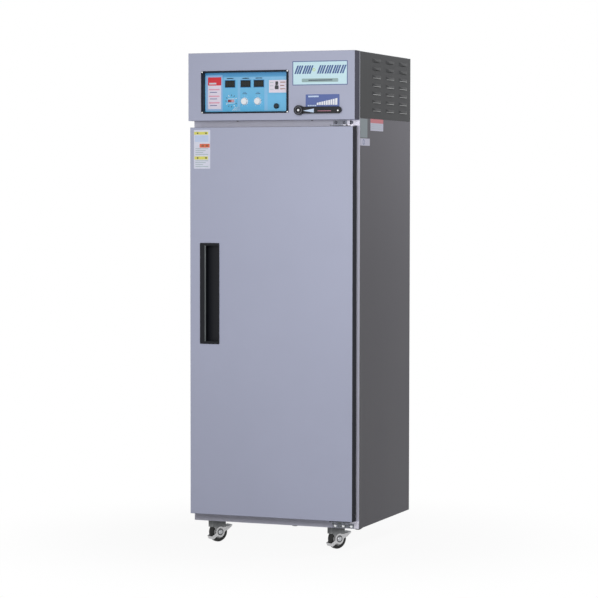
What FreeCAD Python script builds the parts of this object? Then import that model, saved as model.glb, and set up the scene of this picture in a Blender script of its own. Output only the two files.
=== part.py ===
import FreeCAD, Part
import math
import os

os.makedirs("parts", exist_ok=True)
V = FreeCAD.Vector

# All sizes are in millimetres. +Z is up, the door faces -Y, and the floor is at z = 0.
# The origin lies in the middle of the footprint.

# Body of the cabinet
body_width = 650.0
body_depth = 565.0          # face of the front frame to the back of the rear panel
body_height = 1727.0        # without the casters
ground_clearance = 82.0     # floor to the lower edge of the body
sheet = 1.0                 # steel sheet of the panels
frame_sheet = 1.2           # steel sheet of the front frame and the header
edge_radius = 2.0           # bend radius along the front edges of header and door
panel_return = 15.0         # inward folds at the front and back of the side panels
seam_gap = 0.6              # joint line between lower and upper side panels
through = 1.0               # how far a cut runs past the surface that it opens

# Louvres of the upper side panels: hoods pressed out of the sheet, open below
louvre_length = 96.0
louvre_height = 12.0
louvre_bulge = 5.0
louvre_columns = 3
louvre_rows = 7
louvre_first_y = 179.0      # from the face of the front frame
louvre_pitch_y = 149.0
louvre_first_z = 28.0       # above the floor of the machine space
louvre_pitch_z = 30.0
louvre_arch_out = 0.75      # middle of the arch, as shares of the bulge and the height
louvre_arch_up = 0.55

# Vents in the rear panel, and the top cover's skirt
vent_columns = (-2, -1, 1, 2)
vent_rows = 6
vent_pitch_x = 105.0
vent_pitch_z = 22.0
vent_first_z = 60.0         # above the floor of the machine space
vent_length = 76.0
vent_height = 7.0
vent_corner = 3.43
skirt_height = 20.0

# Header box over the door
header_height = 247.0
deck_above_header = 7.0     # floor of the machine space above the header's lower edge

# Door
door_gap_top = 24.0
door_gap_bottom = 32.0
door_inset = 7.0
door_thickness = 43.0
gasket_space = 12.0         # back of the door to the face of the front frame
gasket_gap = 0.3
gasket_width = 15.0
gasket_inset = 12.0         # edge of the door to the gasket
gasket_bulb = 4.5           # rounding of its face
dish_depth = 8.0            # raised field of the door's inner panel
dish_margin = 8.0           # gasket to that field
dish_slope = 12.0

# Drying chamber
side_wall = 40.0            # outer face to chamber, insulation between
rear_wall = 45.0
chamber_floor_height = 64.0
chamber_ceiling_drop = 56.0 # below the header's lower edge
liner_flange = 12.0
base_drop = 18.0            # floor pan above the lower edge of the body
base_sheet = 2.0
liner_shaft_gap = 3.0       # fan shaft to the holes that it passes

# Air guide at the ceiling and the rear wall of the chamber
duct_depth = 70.0
plenum_height = 84.0
plenum_front = 220.0        # from the face of the front frame
duct_side_gap = 0.3
duct_foot = 18.0
duct_slot_width = 66.0
duct_slot_height = 9.0
duct_slot_columns = 5
duct_slot_rows = 15
duct_slot_pitch_x = 100.0
duct_slot_pitch_z = 76.0
duct_first_slot = 70.0      # above the chamber floor

# Circulation fan
fan_y_from_frame = 372.0
fan_radius = 95.0
fan_inlet_radius = 68.0
fan_hub_radius = 20.0
fan_height = 48.0
fan_ceiling_gap = 12.0
fan_plate = 1.5
fan_blades = 12
fan_shaft_radius = 5.0
motor_radius = 55.0
motor_height = 84.0
motor_flange_radius = 72.0
motor_bore_depth = 60.0
motor_flange_thickness = 4.0
motor_cap_radius = 33.0
motor_cap_height = 12.0
motor_grooves = 4
motor_groove_first = 22.0   # above the floor of the machine space
motor_groove_pitch = 12.0
motor_groove_width = 5.0
motor_groove_depth = 3.0
fan_blade_overlap = 4.0     # over the edge of the inlet
fan_blade_margin = 1.0      # inside the rim
fan_blade_sweep = 28.0      # degrees from a blade's root to its tip
fan_blade_curl = 0.38       # share of the sweep at half its way
fan_hub_length = 24.0
fan_shaft_below = 2.0       # shaft end under the hub
fan_shaft_end_gap = 1.0     # other end to the bottom of the motor's bore
bearing_gap = 0.05

# Heater rod in the rear duct
heater_radius = 4.0
heater_run = 440.0
heater_bend = 22.0
heater_runs = 4
heater_drop = 150.0         # ceiling to the first run
heater_cap_radius = 8.0
heater_cap_length = 6.0
heater_stay_sheet = 2.0
heater_stay_reach = 9.0     # above and below the run that it holds
heater_strap_width = 3.0
heater_strap_sink = 0.2

# Temperature probe under the chamber's ceiling
probe_from_right = 115.0    # side of the body to the probe
probe_y_from_frame = 130.0
probe_radius = 3.0
probe_length = 80.0
probe_nut_radius = 9.0
probe_nut_height = 8.0

# Exhaust duct with its throttle flap
exhaust_from_right = 209.5  # side of the body to the middle of the duct
exhaust_y_from_frame = 70.0
exhaust_radius = 35.0
exhaust_wall = 1.5
exhaust_flange = 12.0
exhaust_flange_sheet = 2.0
exhaust_slots = 5
exhaust_slot_pitch = 11.0
exhaust_slot_height = 6.0
exhaust_slot_corner = 2.9
exhaust_slot_inset = 6.0    # duct wall to the ends of the slots
flap_gap = 0.6
flap_sheet = 1.5
damper_shaft_radius = 4.0
damper_boss_radius = 9.0
damper_boss_length = 8.0
damper_shaft_end = 4.0      # beyond the rear boss

# Damper lever on the header
lever_height = 34.5         # hub above the header's lower edge
lever_reach = 19.0          # face of the header to the front of the hub
lever_gap = 3.0
lever_hub_radius = 17.5
lever_length = 150.0        # hub centre to the centre of the rounded end
lever_width = 24.0
lever_thickness = 7.0
lever_standoff = 7.0
lever_shaft_depth = 6.0     # front of the hub to the end of the shaft in it
lever_rim = 3.5             # outside the ring groove of the hub
lever_cap_radius = 7.0
lever_groove_depth = 3.0
lever_chamfer = 1.0
lever_sink_radius = 4.0
lever_sink_depth = 2.0
lever_hole_gap = 1.0        # shaft to its hole in the header

# Control panel in the header
panel_from_left = 52.0      # side of the body to the bezel
panel_width = 344.0
panel_bottom = 26.0         # above the header's lower edge
panel_top = 181.0
bezel_side = 8.0
bezel_top = 6.0
bezel_proud = 2.5
bezel_wall = 2.0
bezel_corner = 4.0
bezel_hole_corner = 3.0
bezel_screw_side = 4.2      # end of the bezel to its screws
bezel_screw_top = 3.6
bezel_head_radius = 3.0
bezel_head_crown = 2.0
bezel_head_height = 1.2
panel_recess = 18.0         # face of the header to the face of the control plate
plate_thickness = 1.5
fit_gap = 0.3
window_width = 38.0
window_height = 24.5
window_thickness = 1.5
window_height_pos = 134.0   # above the header's lower edge, as are the next ones
window_offsets = (107.0, 168.5, 220.5)     # from the left edge of the bezel, as are the next ones
knob_offsets = (165.0, 217.0)
knob_height_pos = 70.0
knob_radius = 13.5
knob_height = 10.5
knob_shaft_radius = 3.0
knob_gap = 0.5
knob_edge = 1.0             # bevel round the face
knob_skirt = 1.4            # skirt outside the foot of the knob's body
knob_taper = 0.6
knob_skirt_height = 2.2
knob_skirt_slope = 0.8
knob_mark_width = 1.6
knob_mark_depth = 1.0
knob_mark_start = 2.0
switch_offset = 112.0
switch_height_pos = 72.0
switch_width = 29.0
switch_height = 13.0
switch_wall = 1.5
switch_depth = 12.0
switch_tilt = 6.0
switch_pin_radius = 1.0
switch_pin_gap = 0.3
switch_proud = 1.5          # case in front of the plate
switch_pivot = 2.5          # face of the plate back to the pin
rocker_side_gap = 1.1
rocker_end_gap = 0.5
rocker_proud = 4.0          # ends of the rocker in front of the plate
rocker_dip = 1.6
rocker_shoulder = 1.0
rocker_foot = 3.0
rocker_depth = 4.0
button_offset = 292.0
button_height_pos = 51.5
button_radius = 9.5
button_height = 9.0
button_stem_radius = 4.0
button_travel = 3.0
button_gap = 0.5            # pressed button to the plate
button_bevel = 2.5
button_stem_gap = 2.0       # pressed stem to the board
board_gap = 14.0
board_thickness = 1.6
board_shaft_gap = 1.0       # knob shafts to the board
board_margin = 6.0
board_spacer_radius = 3.0
board_spacer_inset = 8.0
transformer_inset = 30.0
transformer_size = 50.0
transformer_height = 22.0   # from the front of the board
relays = 4
relay_first = 110.0
relay_pitch = 34.0
relay_length = 24.0
relay_width = 26.0
relay_top = 14.0            # upper edge of the board to the relays
relay_height = 18.0
pot_radius = 8.0
pot_gap = 0.5               # control plate to the pots, and their bore to the board

# Hinges on the right edge of the door
hinge_in_from_edge = 11.0   # edge of the door to the pin
hinge_back_from_face = 22.0 # face of the door to the pin
hinge_pin_radius = 5.0
hinge_pin_length = 20.0
hinge_sheet = 3.0
hinge_gap = 3.0
hinge_collar_radius = 8.5
hinge_collar_gap = 0.3
hinge_leaf_left = 84.0      # pin to the left end of the leaf
hinge_leaf_right = 12.0
hinge_leaf_front = 11.0     # pin to the front edge of the leaf
hinge_leaf_corner = 9.0
hinge_flange_right = 17.0
hinge_flange_margin = 2.0   # flange to the edge of the body or the header
hinge_screw_margin = 7.0    # that edge of the flange to the screws
hinge_boss = 30.0
hinge_boss_wall = 4.0       # beyond the end of the pin
hinge_boss_back = 8.0       # more depth than width
hinge_pin_end_gap = 1.0
hinge_head_radius = 5.5
hinge_head_crown = 3.5
hinge_head_height = 2.2
hinge_screw_spacing = 31.0
hinge_screw_centre = 42.0   # pin to the middle screw
hinge_screw_radius = 3.0

# Door handle: a flush pull with a pocket behind a grip lip
handle_left = 40.0          # edge of the door to the handle
handle_width = 77.0
handle_height = 371.0
handle_top = 423.0          # top of the door to the top of the handle
handle_proud = 2.5
handle_lip = 24.0           # left edge to the edge of the grip lip
handle_border = 7.0
handle_pocket = 27.0
handle_undercut = 13.0
handle_shell = 2.5
handle_corner = 3.0
handle_mouth_corner = 2.0
handle_mouth_overlap = 5.0  # the undercut's run past the lip
handle_crest_radius = 2.6
lip_thickness = 4.0

# Shelves
shelf_count = 3
shelf_first = 250.0         # above the chamber floor
shelf_pitch = 330.0
shelf_frame_radius = 3.5
shelf_wire_radius = 2.0
shelf_wires = 17
shelf_side_gap = 10.0
shelf_front = 30.0
shelf_back_gap = 14.0
shelf_corner = 22.0
shelf_rest_gap = 0.1        # clip to the frame wire
shelf_bar_radius = 2.5
shelf_bar_shares = (0.3, 0.7)
shelf_bar_drop = 0.5        # middle of the frame wire to the middle of the cross bars
shelf_bar_weld = 0.4
shelf_wire_weld = 0.1
shelf_wire_overhang = 1.0
pilaster_width = 22.0
pilaster_depth = 6.0
pilaster_front = 90.0
pilaster_back_gap = 55.0    # rear pilaster to the rear duct
pilaster_slot = 14.0
pilaster_slot_height = 5.0
pilaster_pitch = 55.0
pilaster_slots = 22
pilaster_end_gap = 20.0     # pilaster to the floor and to the air guide
pilaster_first_slot = 50.0  # above the chamber floor
clip_ledge = 14.0
clip_sheet = 2.0
clip_width = 12.0
clip_tongue = 4.0
clip_lip = 6.0
clip_rib_height = 12.0
clip_rib_foot = 3.0
clip_rib_rise = 4.0
clip_rib_sheet = 2.0

# Casters
caster_height = ground_clearance + base_drop
wheel_radius = 37.5
wheel_width = 21.0
hub_radius = 24.0
hub_side_gap = 0.3
hub_boss_radius = 11.0
hub_boss_slope = 1.0
hub_web_inset = 3.0         # side of the wheel to the web
hub_rim = 3.0
hub_rim_slope = 1.0
hub_rim_inset = 0.5
tyre_shoulder = 6.0
tyre_edge = 2.0
caster_trail = 22.0
front_caster_inset = 88.5   # side of the body to the swivel axis
front_caster_setback = 59.0 # face of the front frame to the swivel axis
rear_caster_inset = 195.0
rear_caster_setback = 71.0  # from the rear panel
front_swivel = -121.0       # the way the wheels trail, in degrees from +X
rear_swivel = 75.0
caster_plate_length = 92.0
caster_plate_width = 68.0
caster_plate_thickness = 4.0
caster_plate_corner = 8.0
caster_bolt_spacing_x = 72.0
caster_bolt_spacing_y = 48.0
caster_bolt_radius = 4.0
caster_bolt_head = 6.6
caster_bolt_head_height = 5.0
king_pin_radius = 6.0
king_head_radius = 9.0
king_head_height = 3.5
king_head_gap = 0.3
plate_race_radius = 17.0
plate_race_height = 6.0
plate_race_flare = 5.0
fork_race_flare = 3.0
race_gap = 1.0
race_cup_gap = 0.6
race_cup_floor = 3.0
fork_inside = 12.0          # middle plane to the inner face of a leg
fork_sheet = 2.0
fork_top = 80.0
fork_front = -4.0           # swivel axis to the front edge of the legs
fork_back = 60.0
fork_skirt = 58.0           # lower edge of the fork's cap above the floor
fork_corner = 9.0
fork_boss_radius = 13.0
fork_leg_half = 12.0        # half the width of a leg at the axle
fork_leg_drop = 3.0
fork_race_radius = 26.0
axle_radius = 4.0
axle_head_radius = 9.0
axle_head_height = 3.0
axle_head_dome = 2.0
axle_nut_radius = 8.0
axle_nut_height = 4.0
brake_gap = 0.3             # fork leg to brake lever
brake_sheet = 1.4
brake_disc_radius = 19.5
brake_groove_radius = 11.0
brake_groove_width = 1.3
brake_pad_gap = 1.5         # tyre to brake pad
brake_pad_width = 13.0
brake_pad_drop = 30.0       # the pad's arm below the level, in degrees
# Outlines of the pedal's arm and of the tread across it, from the axle
brake_arm = ((-10, -4), (-36, 6), (-55, 19.5), (-53.5, 24), (-36, 18), (-10, 16))
brake_tread = ((-38.5, 17.2), (-53.5, 24), (-54.2, 22.5), (-39.2, 15.7))

# Places worked out from these sizes
half_width = body_width / 2
header_depth = door_thickness + gasket_space
overall_depth = lever_reach + header_depth + body_depth
frame_y = lever_reach + header_depth - overall_depth / 2
front_y = frame_y - header_depth
back_y = frame_y + body_depth
body_z = ground_clearance
top_z = body_z + body_height
header_z = top_z - header_height
deck_z = header_z + deck_above_header
inside_front = frame_y + frame_sheet + sheet
inside_back = back_y - 2 * sheet
inside_half = half_width - sheet
chamber_half = half_width - side_wall
chamber_back = back_y - rear_wall
chamber_z0 = body_z + chamber_floor_height
chamber_z1 = header_z - chamber_ceiling_drop
pan_z = body_z + base_drop + base_sheet
duct_y = chamber_back - duct_depth
plenum_z = chamber_z1 - plenum_height
plenum_y = frame_y + plenum_front
fan_y = frame_y + fan_y_from_frame
exhaust_x = half_width - exhaust_from_right
exhaust_y = frame_y + exhaust_y_from_frame
lever_z = header_z + lever_height
door_half = half_width - door_inset
door_z0 = body_z + door_gap_bottom
door_z1 = header_z - door_gap_top
door_back = frame_y - gasket_space
panel_left = -half_width + panel_from_left
panel_right = panel_left + panel_width
hinge_x = door_half - hinge_in_from_edge
hinge_y = front_y + hinge_back_from_face
plate_y = front_y + panel_recess
handle_x0 = -door_half + handle_left
handle_x1 = handle_x0 + handle_width
handle_z1 = door_z1 - handle_top
handle_z0 = handle_z1 - handle_height


def block(x0, x1, y0, y1, z0, z1):
    return Part.makeBox(x1 - x0, y1 - y0, z1 - z0, V(x0, y0, z0))


def rod(radius, start, end):
    way = end - start
    return Part.makeCylinder(radius, way.Length, start, way)


def tube(outer, inner, start, end):
    return rod(outer, start, end).cut(rod(inner, start, end))


def on_plane(plane, u, v, w):
    return {"xy": V(u, v, w), "xz": V(u, w, v), "yz": V(w, u, v)}[plane]


def prism(points, plane, start, end):
    corners = [on_plane(plane, u, v, start) for u, v in points]
    face = Part.Face(Part.makePolygon(corners + corners[:1]))
    return face.extrude(on_plane(plane, 0, 0, end - start))


def folded(path, thickness):
    # The outline of a folded sheet: along the path, and back beside it on its left.
    left = []
    for i, (u, v) in enumerate(path):
        normals = []
        for a, b in ((i - 1, i), (i, i + 1)):
            if a >= 0 and b < len(path):
                du, dv = path[b][0] - path[a][0], path[b][1] - path[a][1]
                length = math.hypot(du, dv)
                normals.append((-dv / length, du / length))
        (a, b), (c, d) = normals[0], normals[-1]
        mitre = thickness / (1 + a * c + b * d)
        left.append((u + (a + c) * mitre, v + (b + d) * mitre))
    return path + left[::-1]


def edges_along(shape, axis, keep=lambda edge: True):
    found = []
    for edge in shape.Edges:
        way = edge.Vertexes[-1].Point - edge.Vertexes[0].Point
        straight = isinstance(edge.Curve, Part.Line) and way.Length > 1e-6
        if straight and abs(abs(way.normalize().dot(axis)) - 1) < 1e-6 and keep(edge):
            found.append(edge)
    return found


def rounded_block(x0, x1, y0, y1, z0, z1, radius, axis):
    shape = block(x0, x1, y0, y1, z0, z1)
    return shape.makeFillet(radius, edges_along(shape, axis))


def soften_front(shape, y, radius):
    # Rounds the straight edges that lie in the front plane at y.
    def in_front(edge):
        return all(abs(vertex.Point.y - y) < 1e-6 for vertex in edge.Vertexes)
    edges = edges_along(shape, V(1, 0, 0), in_front) + edges_along(shape, V(0, 0, 1), in_front)
    return shape.makeFillet(radius, edges)


def fuse(first, *others):
    return first.multiFuse(list(others)).removeSplitter()


def cut(first, *others):
    return first.cut(Part.makeCompound(list(others)))


# Outer panels

def louvre_reach(inset):
    # Half the length of a hood, or of the hollow in it, where it leaves the sheet.
    radius = ((louvre_length / 2) ** 2 + louvre_bulge ** 2) / (2 * louvre_bulge)
    return math.sqrt((radius - inset) ** 2 - (radius - louvre_bulge) ** 2)


def louvre_swelling(side, inset):
    # Arched in section and lens-shaped from above, so that it runs out into the sheet.
    face = side * half_width
    root = face - side * (sheet + inset)
    rise, foot, reach = louvre_height - inset, -2 * sheet, louvre_reach(inset)
    bulge = side * (louvre_bulge - inset)
    top, lip, toe = V(face, 0, rise), V(face + bulge, 0, 0), V(face + bulge, 0, foot)
    section = [
        Part.makeLine(V(root, 0, foot), V(root, 0, rise)),
        Part.makeLine(V(root, 0, rise), top),
        Part.Arc(top, V(face + louvre_arch_out * bulge, 0, louvre_arch_up * rise), lip).toShape(),
        Part.makeLine(lip, toe),
        Part.makeLine(toe, V(root, 0, foot)),
    ]
    arch = Part.Face(Part.Wire(section)).extrude(V(0, 2 * reach, 0))
    arch.translate(V(0, -reach, 0))
    outline = [
        Part.Arc(V(face, -reach, foot), toe, V(face, reach, foot)).toShape(),
        Part.makeLine(V(face, reach, foot), V(root, reach, foot)),
        Part.makeLine(V(root, reach, foot), V(root, -reach, foot)),
        Part.makeLine(V(root, -reach, foot), V(face, -reach, foot)),
    ]
    lens = Part.Face(Part.Wire(outline)).extrude(V(0, 0, rise - foot))
    return arch.common(lens)


def louvre(side):
    # A hood pressed out of the sheet, open below, with the middle of its lip at y = z = 0.
    hood = louvre_swelling(side, 0.0).cut(louvre_swelling(side, sheet))
    reach = louvre_length
    return hood.common(block(-body_width, body_width, -reach, reach, 0, louvre_height))


def side_sheet(side, z0, z1):
    outer = side * half_width
    y0, y1 = frame_y + frame_sheet, back_y - sheet
    path = [(outer - side * panel_return, y0), (outer, y0), (outer, y1),
            (outer - side * panel_return, y1)]
    if side < 0:
        path = path[::-1]
    return prism(folded(path, sheet), "xy", z0, z1)


def lower_side_panel(side):
    return side_sheet(side, body_z, deck_z)


def upper_side_panel(side):
    panel = side_sheet(side, deck_z + seam_gap, top_z - sheet)
    hood = louvre(side)
    half = louvre_reach(sheet)
    slots, hoods = [], []
    for column in range(louvre_columns):
        for row in range(louvre_rows):
            y = frame_y + louvre_first_y + column * louvre_pitch_y
            z = deck_z + louvre_first_z + row * louvre_pitch_z
            slots.append(block(side * half_width - 2 * sheet, side * half_width + 2 * sheet,
                               y - half, y + half, z, z + louvre_height - sheet))
            hoods.append(hood.copy())
            hoods[-1].translate(V(0, y, z))
    return fuse(cut(panel, *slots), *hoods)


def rear_panel():
    panel = block(-half_width, half_width, back_y - sheet, back_y, body_z, top_z - sheet)
    slots = []
    half = vent_length / 2
    for column in vent_columns:
        for row in range(vent_rows):
            x, z = column * vent_pitch_x, deck_z + vent_first_z + row * vent_pitch_z
            slots.append(rounded_block(x - half, x + half, back_y - 2 * sheet, back_y + sheet,
                                       z, z + vent_height, vent_corner, V(0, 1, 0)))
    return cut(panel, *slots)


def top_cover():
    cover = block(-half_width, half_width, frame_y, back_y, top_z - sheet, top_z)
    skirt_z = top_z - skirt_height
    skirt = block(-inside_half, inside_half, inside_front, inside_back, skirt_z, top_z - sheet)
    hollow = block(-inside_half + sheet, inside_half - sheet, inside_front + sheet,
                   inside_back - sheet, skirt_z, top_z - sheet)
    slots = []
    high = exhaust_slot_height / 2
    for i in range(exhaust_slots):
        offset = (i - (exhaust_slots - 1) / 2) * exhaust_slot_pitch
        half = math.sqrt((exhaust_radius - exhaust_slot_inset) ** 2 - offset ** 2)
        slots.append(rounded_block(exhaust_x - half, exhaust_x + half, exhaust_y + offset - high,
                                   exhaust_y + offset + high, top_z - 2 * sheet, top_z + sheet,
                                   exhaust_slot_corner, V(0, 0, 1)))
    return cut(fuse(cover, cut(skirt, hollow)), *slots)


def front_frame():
    ring = block(-half_width, half_width, frame_y, frame_y + frame_sheet, body_z, deck_z)
    opening = block(-chamber_half, chamber_half, frame_y - through,
                    frame_y + frame_sheet + through, chamber_z0, chamber_z1)
    return cut(ring, opening)


def base_frame():
    # The floor pan, with its edges turned down inside the outer panels.
    pan = block(-inside_half, inside_half, inside_front, inside_back, body_z, pan_z)
    below = block(-inside_half + base_sheet, inside_half - base_sheet, inside_front + base_sheet,
                  inside_back - base_sheet, body_z - through, pan_z - base_sheet)
    holes = [rod(caster_bolt_radius, V(x, y, pan_z - 2 * base_sheet), V(x, y, pan_z + through))
             for x, y in caster_bolt_places()]
    return cut(pan, below, *holes)


def machine_deck():
    deck = block(-inside_half, inside_half, inside_front, inside_back, deck_z - sheet, deck_z)
    return cut(deck, *ceiling_holes())


# Chamber

def ceiling_holes():
    # What passes from the chamber's ceiling to the machine space.
    z0, z1 = chamber_z1 - through, deck_z + through
    shaft = rod(fan_shaft_radius + liner_shaft_gap, V(0, fan_y, z0), V(0, fan_y, z1))
    duct = rod(exhaust_radius + fit_gap, V(exhaust_x, exhaust_y, z0), V(exhaust_x, exhaust_y, z1))
    return shaft, duct


def inner_liner():
    y0 = frame_y + frame_sheet
    outside = block(-chamber_half - sheet, chamber_half + sheet, y0, chamber_back + sheet,
                    chamber_z0 - sheet, chamber_z1 + sheet)
    flange = block(-chamber_half - liner_flange, chamber_half + liner_flange, y0, y0 + sheet,
                   chamber_z0 - liner_flange, chamber_z1 + liner_flange)
    inside = block(-chamber_half, chamber_half, y0 - through, chamber_back, chamber_z0, chamber_z1)
    return cut(fuse(outside, flange), inside, *ceiling_holes())


def insulation():
    z0, z1 = pan_z, deck_z - sheet
    inner = chamber_half + sheet
    back = chamber_back + sheet
    left = block(-inside_half, -inner, inside_front, inside_back, z0, z1)
    right = block(inner, inside_half, inside_front, inside_back, z0, z1)
    rear = block(-inner, inner, back, inside_back, z0, z1)
    bottom = block(-inner, inner, inside_front, back, z0, chamber_z0 - sheet)
    top = block(-inner, inner, inside_front, back, chamber_z1 + sheet, z1)
    return Part.makeCompound([left, right, rear, bottom, cut(top, *ceiling_holes())])


def air_duct_panel():
    # One sheet: down from the ceiling, back under the fan, and down in front of the rear duct.
    path = [(plenum_y, chamber_z1), (plenum_y, plenum_z), (duct_y, plenum_z),
            (duct_y, chamber_z0), (duct_y + duct_foot, chamber_z0)]
    half = chamber_half - duct_side_gap
    panel = prism(folded(path, sheet), "yz", -half, half)
    past = sheet + through
    cuts = [rod(fan_inlet_radius, V(0, fan_y, plenum_z - past), V(0, fan_y, plenum_z + past))]
    for column in range(duct_slot_columns):
        for row in range(duct_slot_rows):
            x = (column - (duct_slot_columns - 1) / 2) * duct_slot_pitch_x
            z = chamber_z0 + duct_first_slot + row * duct_slot_pitch_z
            cuts.append(block(x - duct_slot_width / 2, x + duct_slot_width / 2, duct_y - past,
                              duct_y + past, z, z + duct_slot_height))
    return cut(panel, *cuts)


def pilaster(side, y):
    root = side * chamber_half
    crest = root - side * pilaster_depth
    path = [(root, y - pilaster_width / 2), (crest, y - pilaster_width / 2),
            (crest, y + pilaster_width / 2), (root, y + pilaster_width / 2)]
    if side > 0:
        path = path[::-1]
    channel = prism(folded(path, sheet), "xy", chamber_z0 + pilaster_end_gap,
                    plenum_z - pilaster_end_gap)
    slots = []
    for i in range(pilaster_slots):
        z = chamber_z0 + pilaster_first_slot + i * pilaster_pitch
        slots.append(block(crest - 2 * sheet, crest + 2 * sheet, y - pilaster_slot / 2,
                           y + pilaster_slot / 2, z, z + pilaster_slot_height))
    return cut(channel, *slots)


def pilaster_places():
    places = (frame_y + pilaster_front, duct_y - pilaster_back_gap)
    return [(side, y) for side in (-1, 1) for y in places]


def shelf_heights():
    # Each shelf hangs in the slots next to its height.
    heights = []
    for i in range(shelf_count):
        slot = round((shelf_first + i * shelf_pitch - pilaster_first_slot) / pilaster_pitch)
        heights.append(chamber_z0 + pilaster_first_slot + slot * pilaster_pitch)
    return heights


def shelf_clip(side, y, z):
    # An angle with a tongue in the pilaster's slot and a ledge under the shelf.
    crest = side * (chamber_half - pilaster_depth)
    ledge = crest - side * clip_ledge
    tongue = crest + side * clip_tongue
    path = [(tongue, z), (ledge, z), (ledge, z - clip_lip)]
    if side < 0:
        path = path[::-1]
    outline = folded(path, clip_sheet)
    low = min(v for u, v in outline)
    shape = prism(outline, "xz", y - clip_width / 2, y + clip_width / 2)
    foot = z - clip_rib_height
    rib = prism([(crest, z), (crest, foot), (crest - side * clip_rib_foot, foot),
                 (ledge, low + clip_rib_rise)], "xz", y - clip_rib_sheet / 2, y + clip_rib_sheet / 2)
    return fuse(shape, rib)


def shelf_clips():
    return Part.makeCompound([shelf_clip(side, y, z + clip_sheet)
                              for z in shelf_heights() for side, y in pilaster_places()])


def ring_path(x0, x1, y0, y1, z, radius):
    # A closed path with rounded corners, in the plane at height z.
    r = radius
    diagonal = r * (1 - math.sqrt(0.5))
    corners = [
        (V(x1 - r, y0, z), V(x1 - diagonal, y0 + diagonal, z), V(x1, y0 + r, z)),
        (V(x1, y1 - r, z), V(x1 - diagonal, y1 - diagonal, z), V(x1 - r, y1, z)),
        (V(x0 + r, y1, z), V(x0 + diagonal, y1 - diagonal, z), V(x0, y1 - r, z)),
        (V(x0, y0 + r, z), V(x0 + diagonal, y0 + diagonal, z), V(x0 + r, y0, z)),
    ]
    edges = []
    for i, (start, middle, end) in enumerate(corners):
        edges.append(Part.Arc(start, middle, end).toShape())
        edges.append(Part.makeLine(end, corners[(i + 1) % 4][0]))
    return Part.Wire(edges)


def shelf(z):
    # A ring of thick wire, with cross bars and thin wires welded on.
    half = chamber_half - pilaster_depth - shelf_side_gap
    y0, y1 = frame_y + shelf_front, duct_y - shelf_back_gap
    z_ring = z + clip_sheet + shelf_frame_radius + shelf_rest_gap
    path = ring_path(-half, half, y0, y1, z_ring, shelf_corner)
    start = path.Edges[1].Vertexes[0].Point
    section = Part.Wire(Part.makeCircle(shelf_frame_radius, start, V(0, 1, 0)))
    ring = Part.Wire(path.Edges[1:] + path.Edges[:1]).makePipeShell([section], True, False)
    pieces = [ring]
    reach = half - shelf_frame_radius + shelf_bar_weld
    bar_z = z_ring - shelf_bar_drop
    for share in shelf_bar_shares:
        y = y0 + share * (y1 - y0)
        pieces.append(rod(shelf_bar_radius, V(-reach, y, bar_z), V(reach, y, bar_z)))
    wire_z = bar_z + shelf_bar_radius + shelf_wire_radius - shelf_wire_weld
    for i in range(shelf_wires):
        x = (i / (shelf_wires - 1) - 0.5) * 2 * (half - shelf_corner)
        pieces.append(rod(shelf_wire_radius, V(x, y0 - shelf_wire_overhang, wire_z),
                          V(x, y1 + shelf_wire_overhang, wire_z)))
    return fuse(*pieces)


# Fan and heater

def fan_motor():
    z0 = deck_z
    foot = z0 + motor_flange_thickness
    flange = rod(motor_flange_radius, V(0, fan_y, z0), V(0, fan_y, foot))
    body = rod(motor_radius, V(0, fan_y, foot), V(0, fan_y, z0 + motor_height))
    cap = Part.makeCone(motor_radius, motor_cap_radius, motor_cap_height,
                        V(0, fan_y, z0 + motor_height))
    grooves = []
    for i in range(motor_grooves):
        z = z0 + motor_groove_first + i * motor_groove_pitch
        grooves.append(tube(motor_radius + through, motor_radius - motor_groove_depth,
                            V(0, fan_y, z), V(0, fan_y, z + motor_groove_width)))
    bore = rod(fan_shaft_radius + bearing_gap, V(0, fan_y, z0 - through),
               V(0, fan_y, z0 + motor_bore_depth))
    return cut(fuse(flange, body, cap), bore, *grooves)


def fan_blade(angle, z0, z1):
    inner, outer = fan_inlet_radius - fan_blade_overlap, fan_radius - fan_blade_margin
    sweep = math.radians(fan_blade_sweep)
    points = []
    for radius, share in ((inner, 0.0), ((inner + outer) / 2, fan_blade_curl), (outer, 1.0)):
        turn = math.radians(angle) + sweep * share
        points.append(V(radius * math.cos(turn), fan_y + radius * math.sin(turn), z0))
    arc = Part.Arc(*points).toShape()
    side = points[2].sub(points[0]).cross(V(0, 0, 1)).normalize() * fan_plate
    shifted = arc.copy()
    shifted.translate(side)
    ends = [Part.makeLine(points[0], points[0] + side), Part.makeLine(points[2], points[2] + side)]
    return Part.Face(Part.Wire(Part.sortEdges([arc, ends[1], shifted, ends[0]])[0])).extrude(
        V(0, 0, z1 - z0))


def fan_wheel():
    z1 = chamber_z1 - fan_ceiling_gap
    z0 = z1 - fan_height
    disc = rod(fan_radius, V(0, fan_y, z1 - fan_plate), V(0, fan_y, z1))
    hub_z = z1 - fan_hub_length
    hub = rod(fan_hub_radius, V(0, fan_y, hub_z), V(0, fan_y, z1))
    shroud = tube(fan_radius, fan_inlet_radius, V(0, fan_y, z0), V(0, fan_y, z0 + fan_plate))
    shaft = rod(fan_shaft_radius, V(0, fan_y, hub_z - fan_shaft_below),
                V(0, fan_y, deck_z + motor_bore_depth - fan_shaft_end_gap))
    blades = [fan_blade(i * 360 / fan_blades, z0 + fan_plate / 2, z1 - fan_plate / 2)
              for i in range(fan_blades)]
    return fuse(disc, hub, shroud, shaft, *blades)


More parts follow.
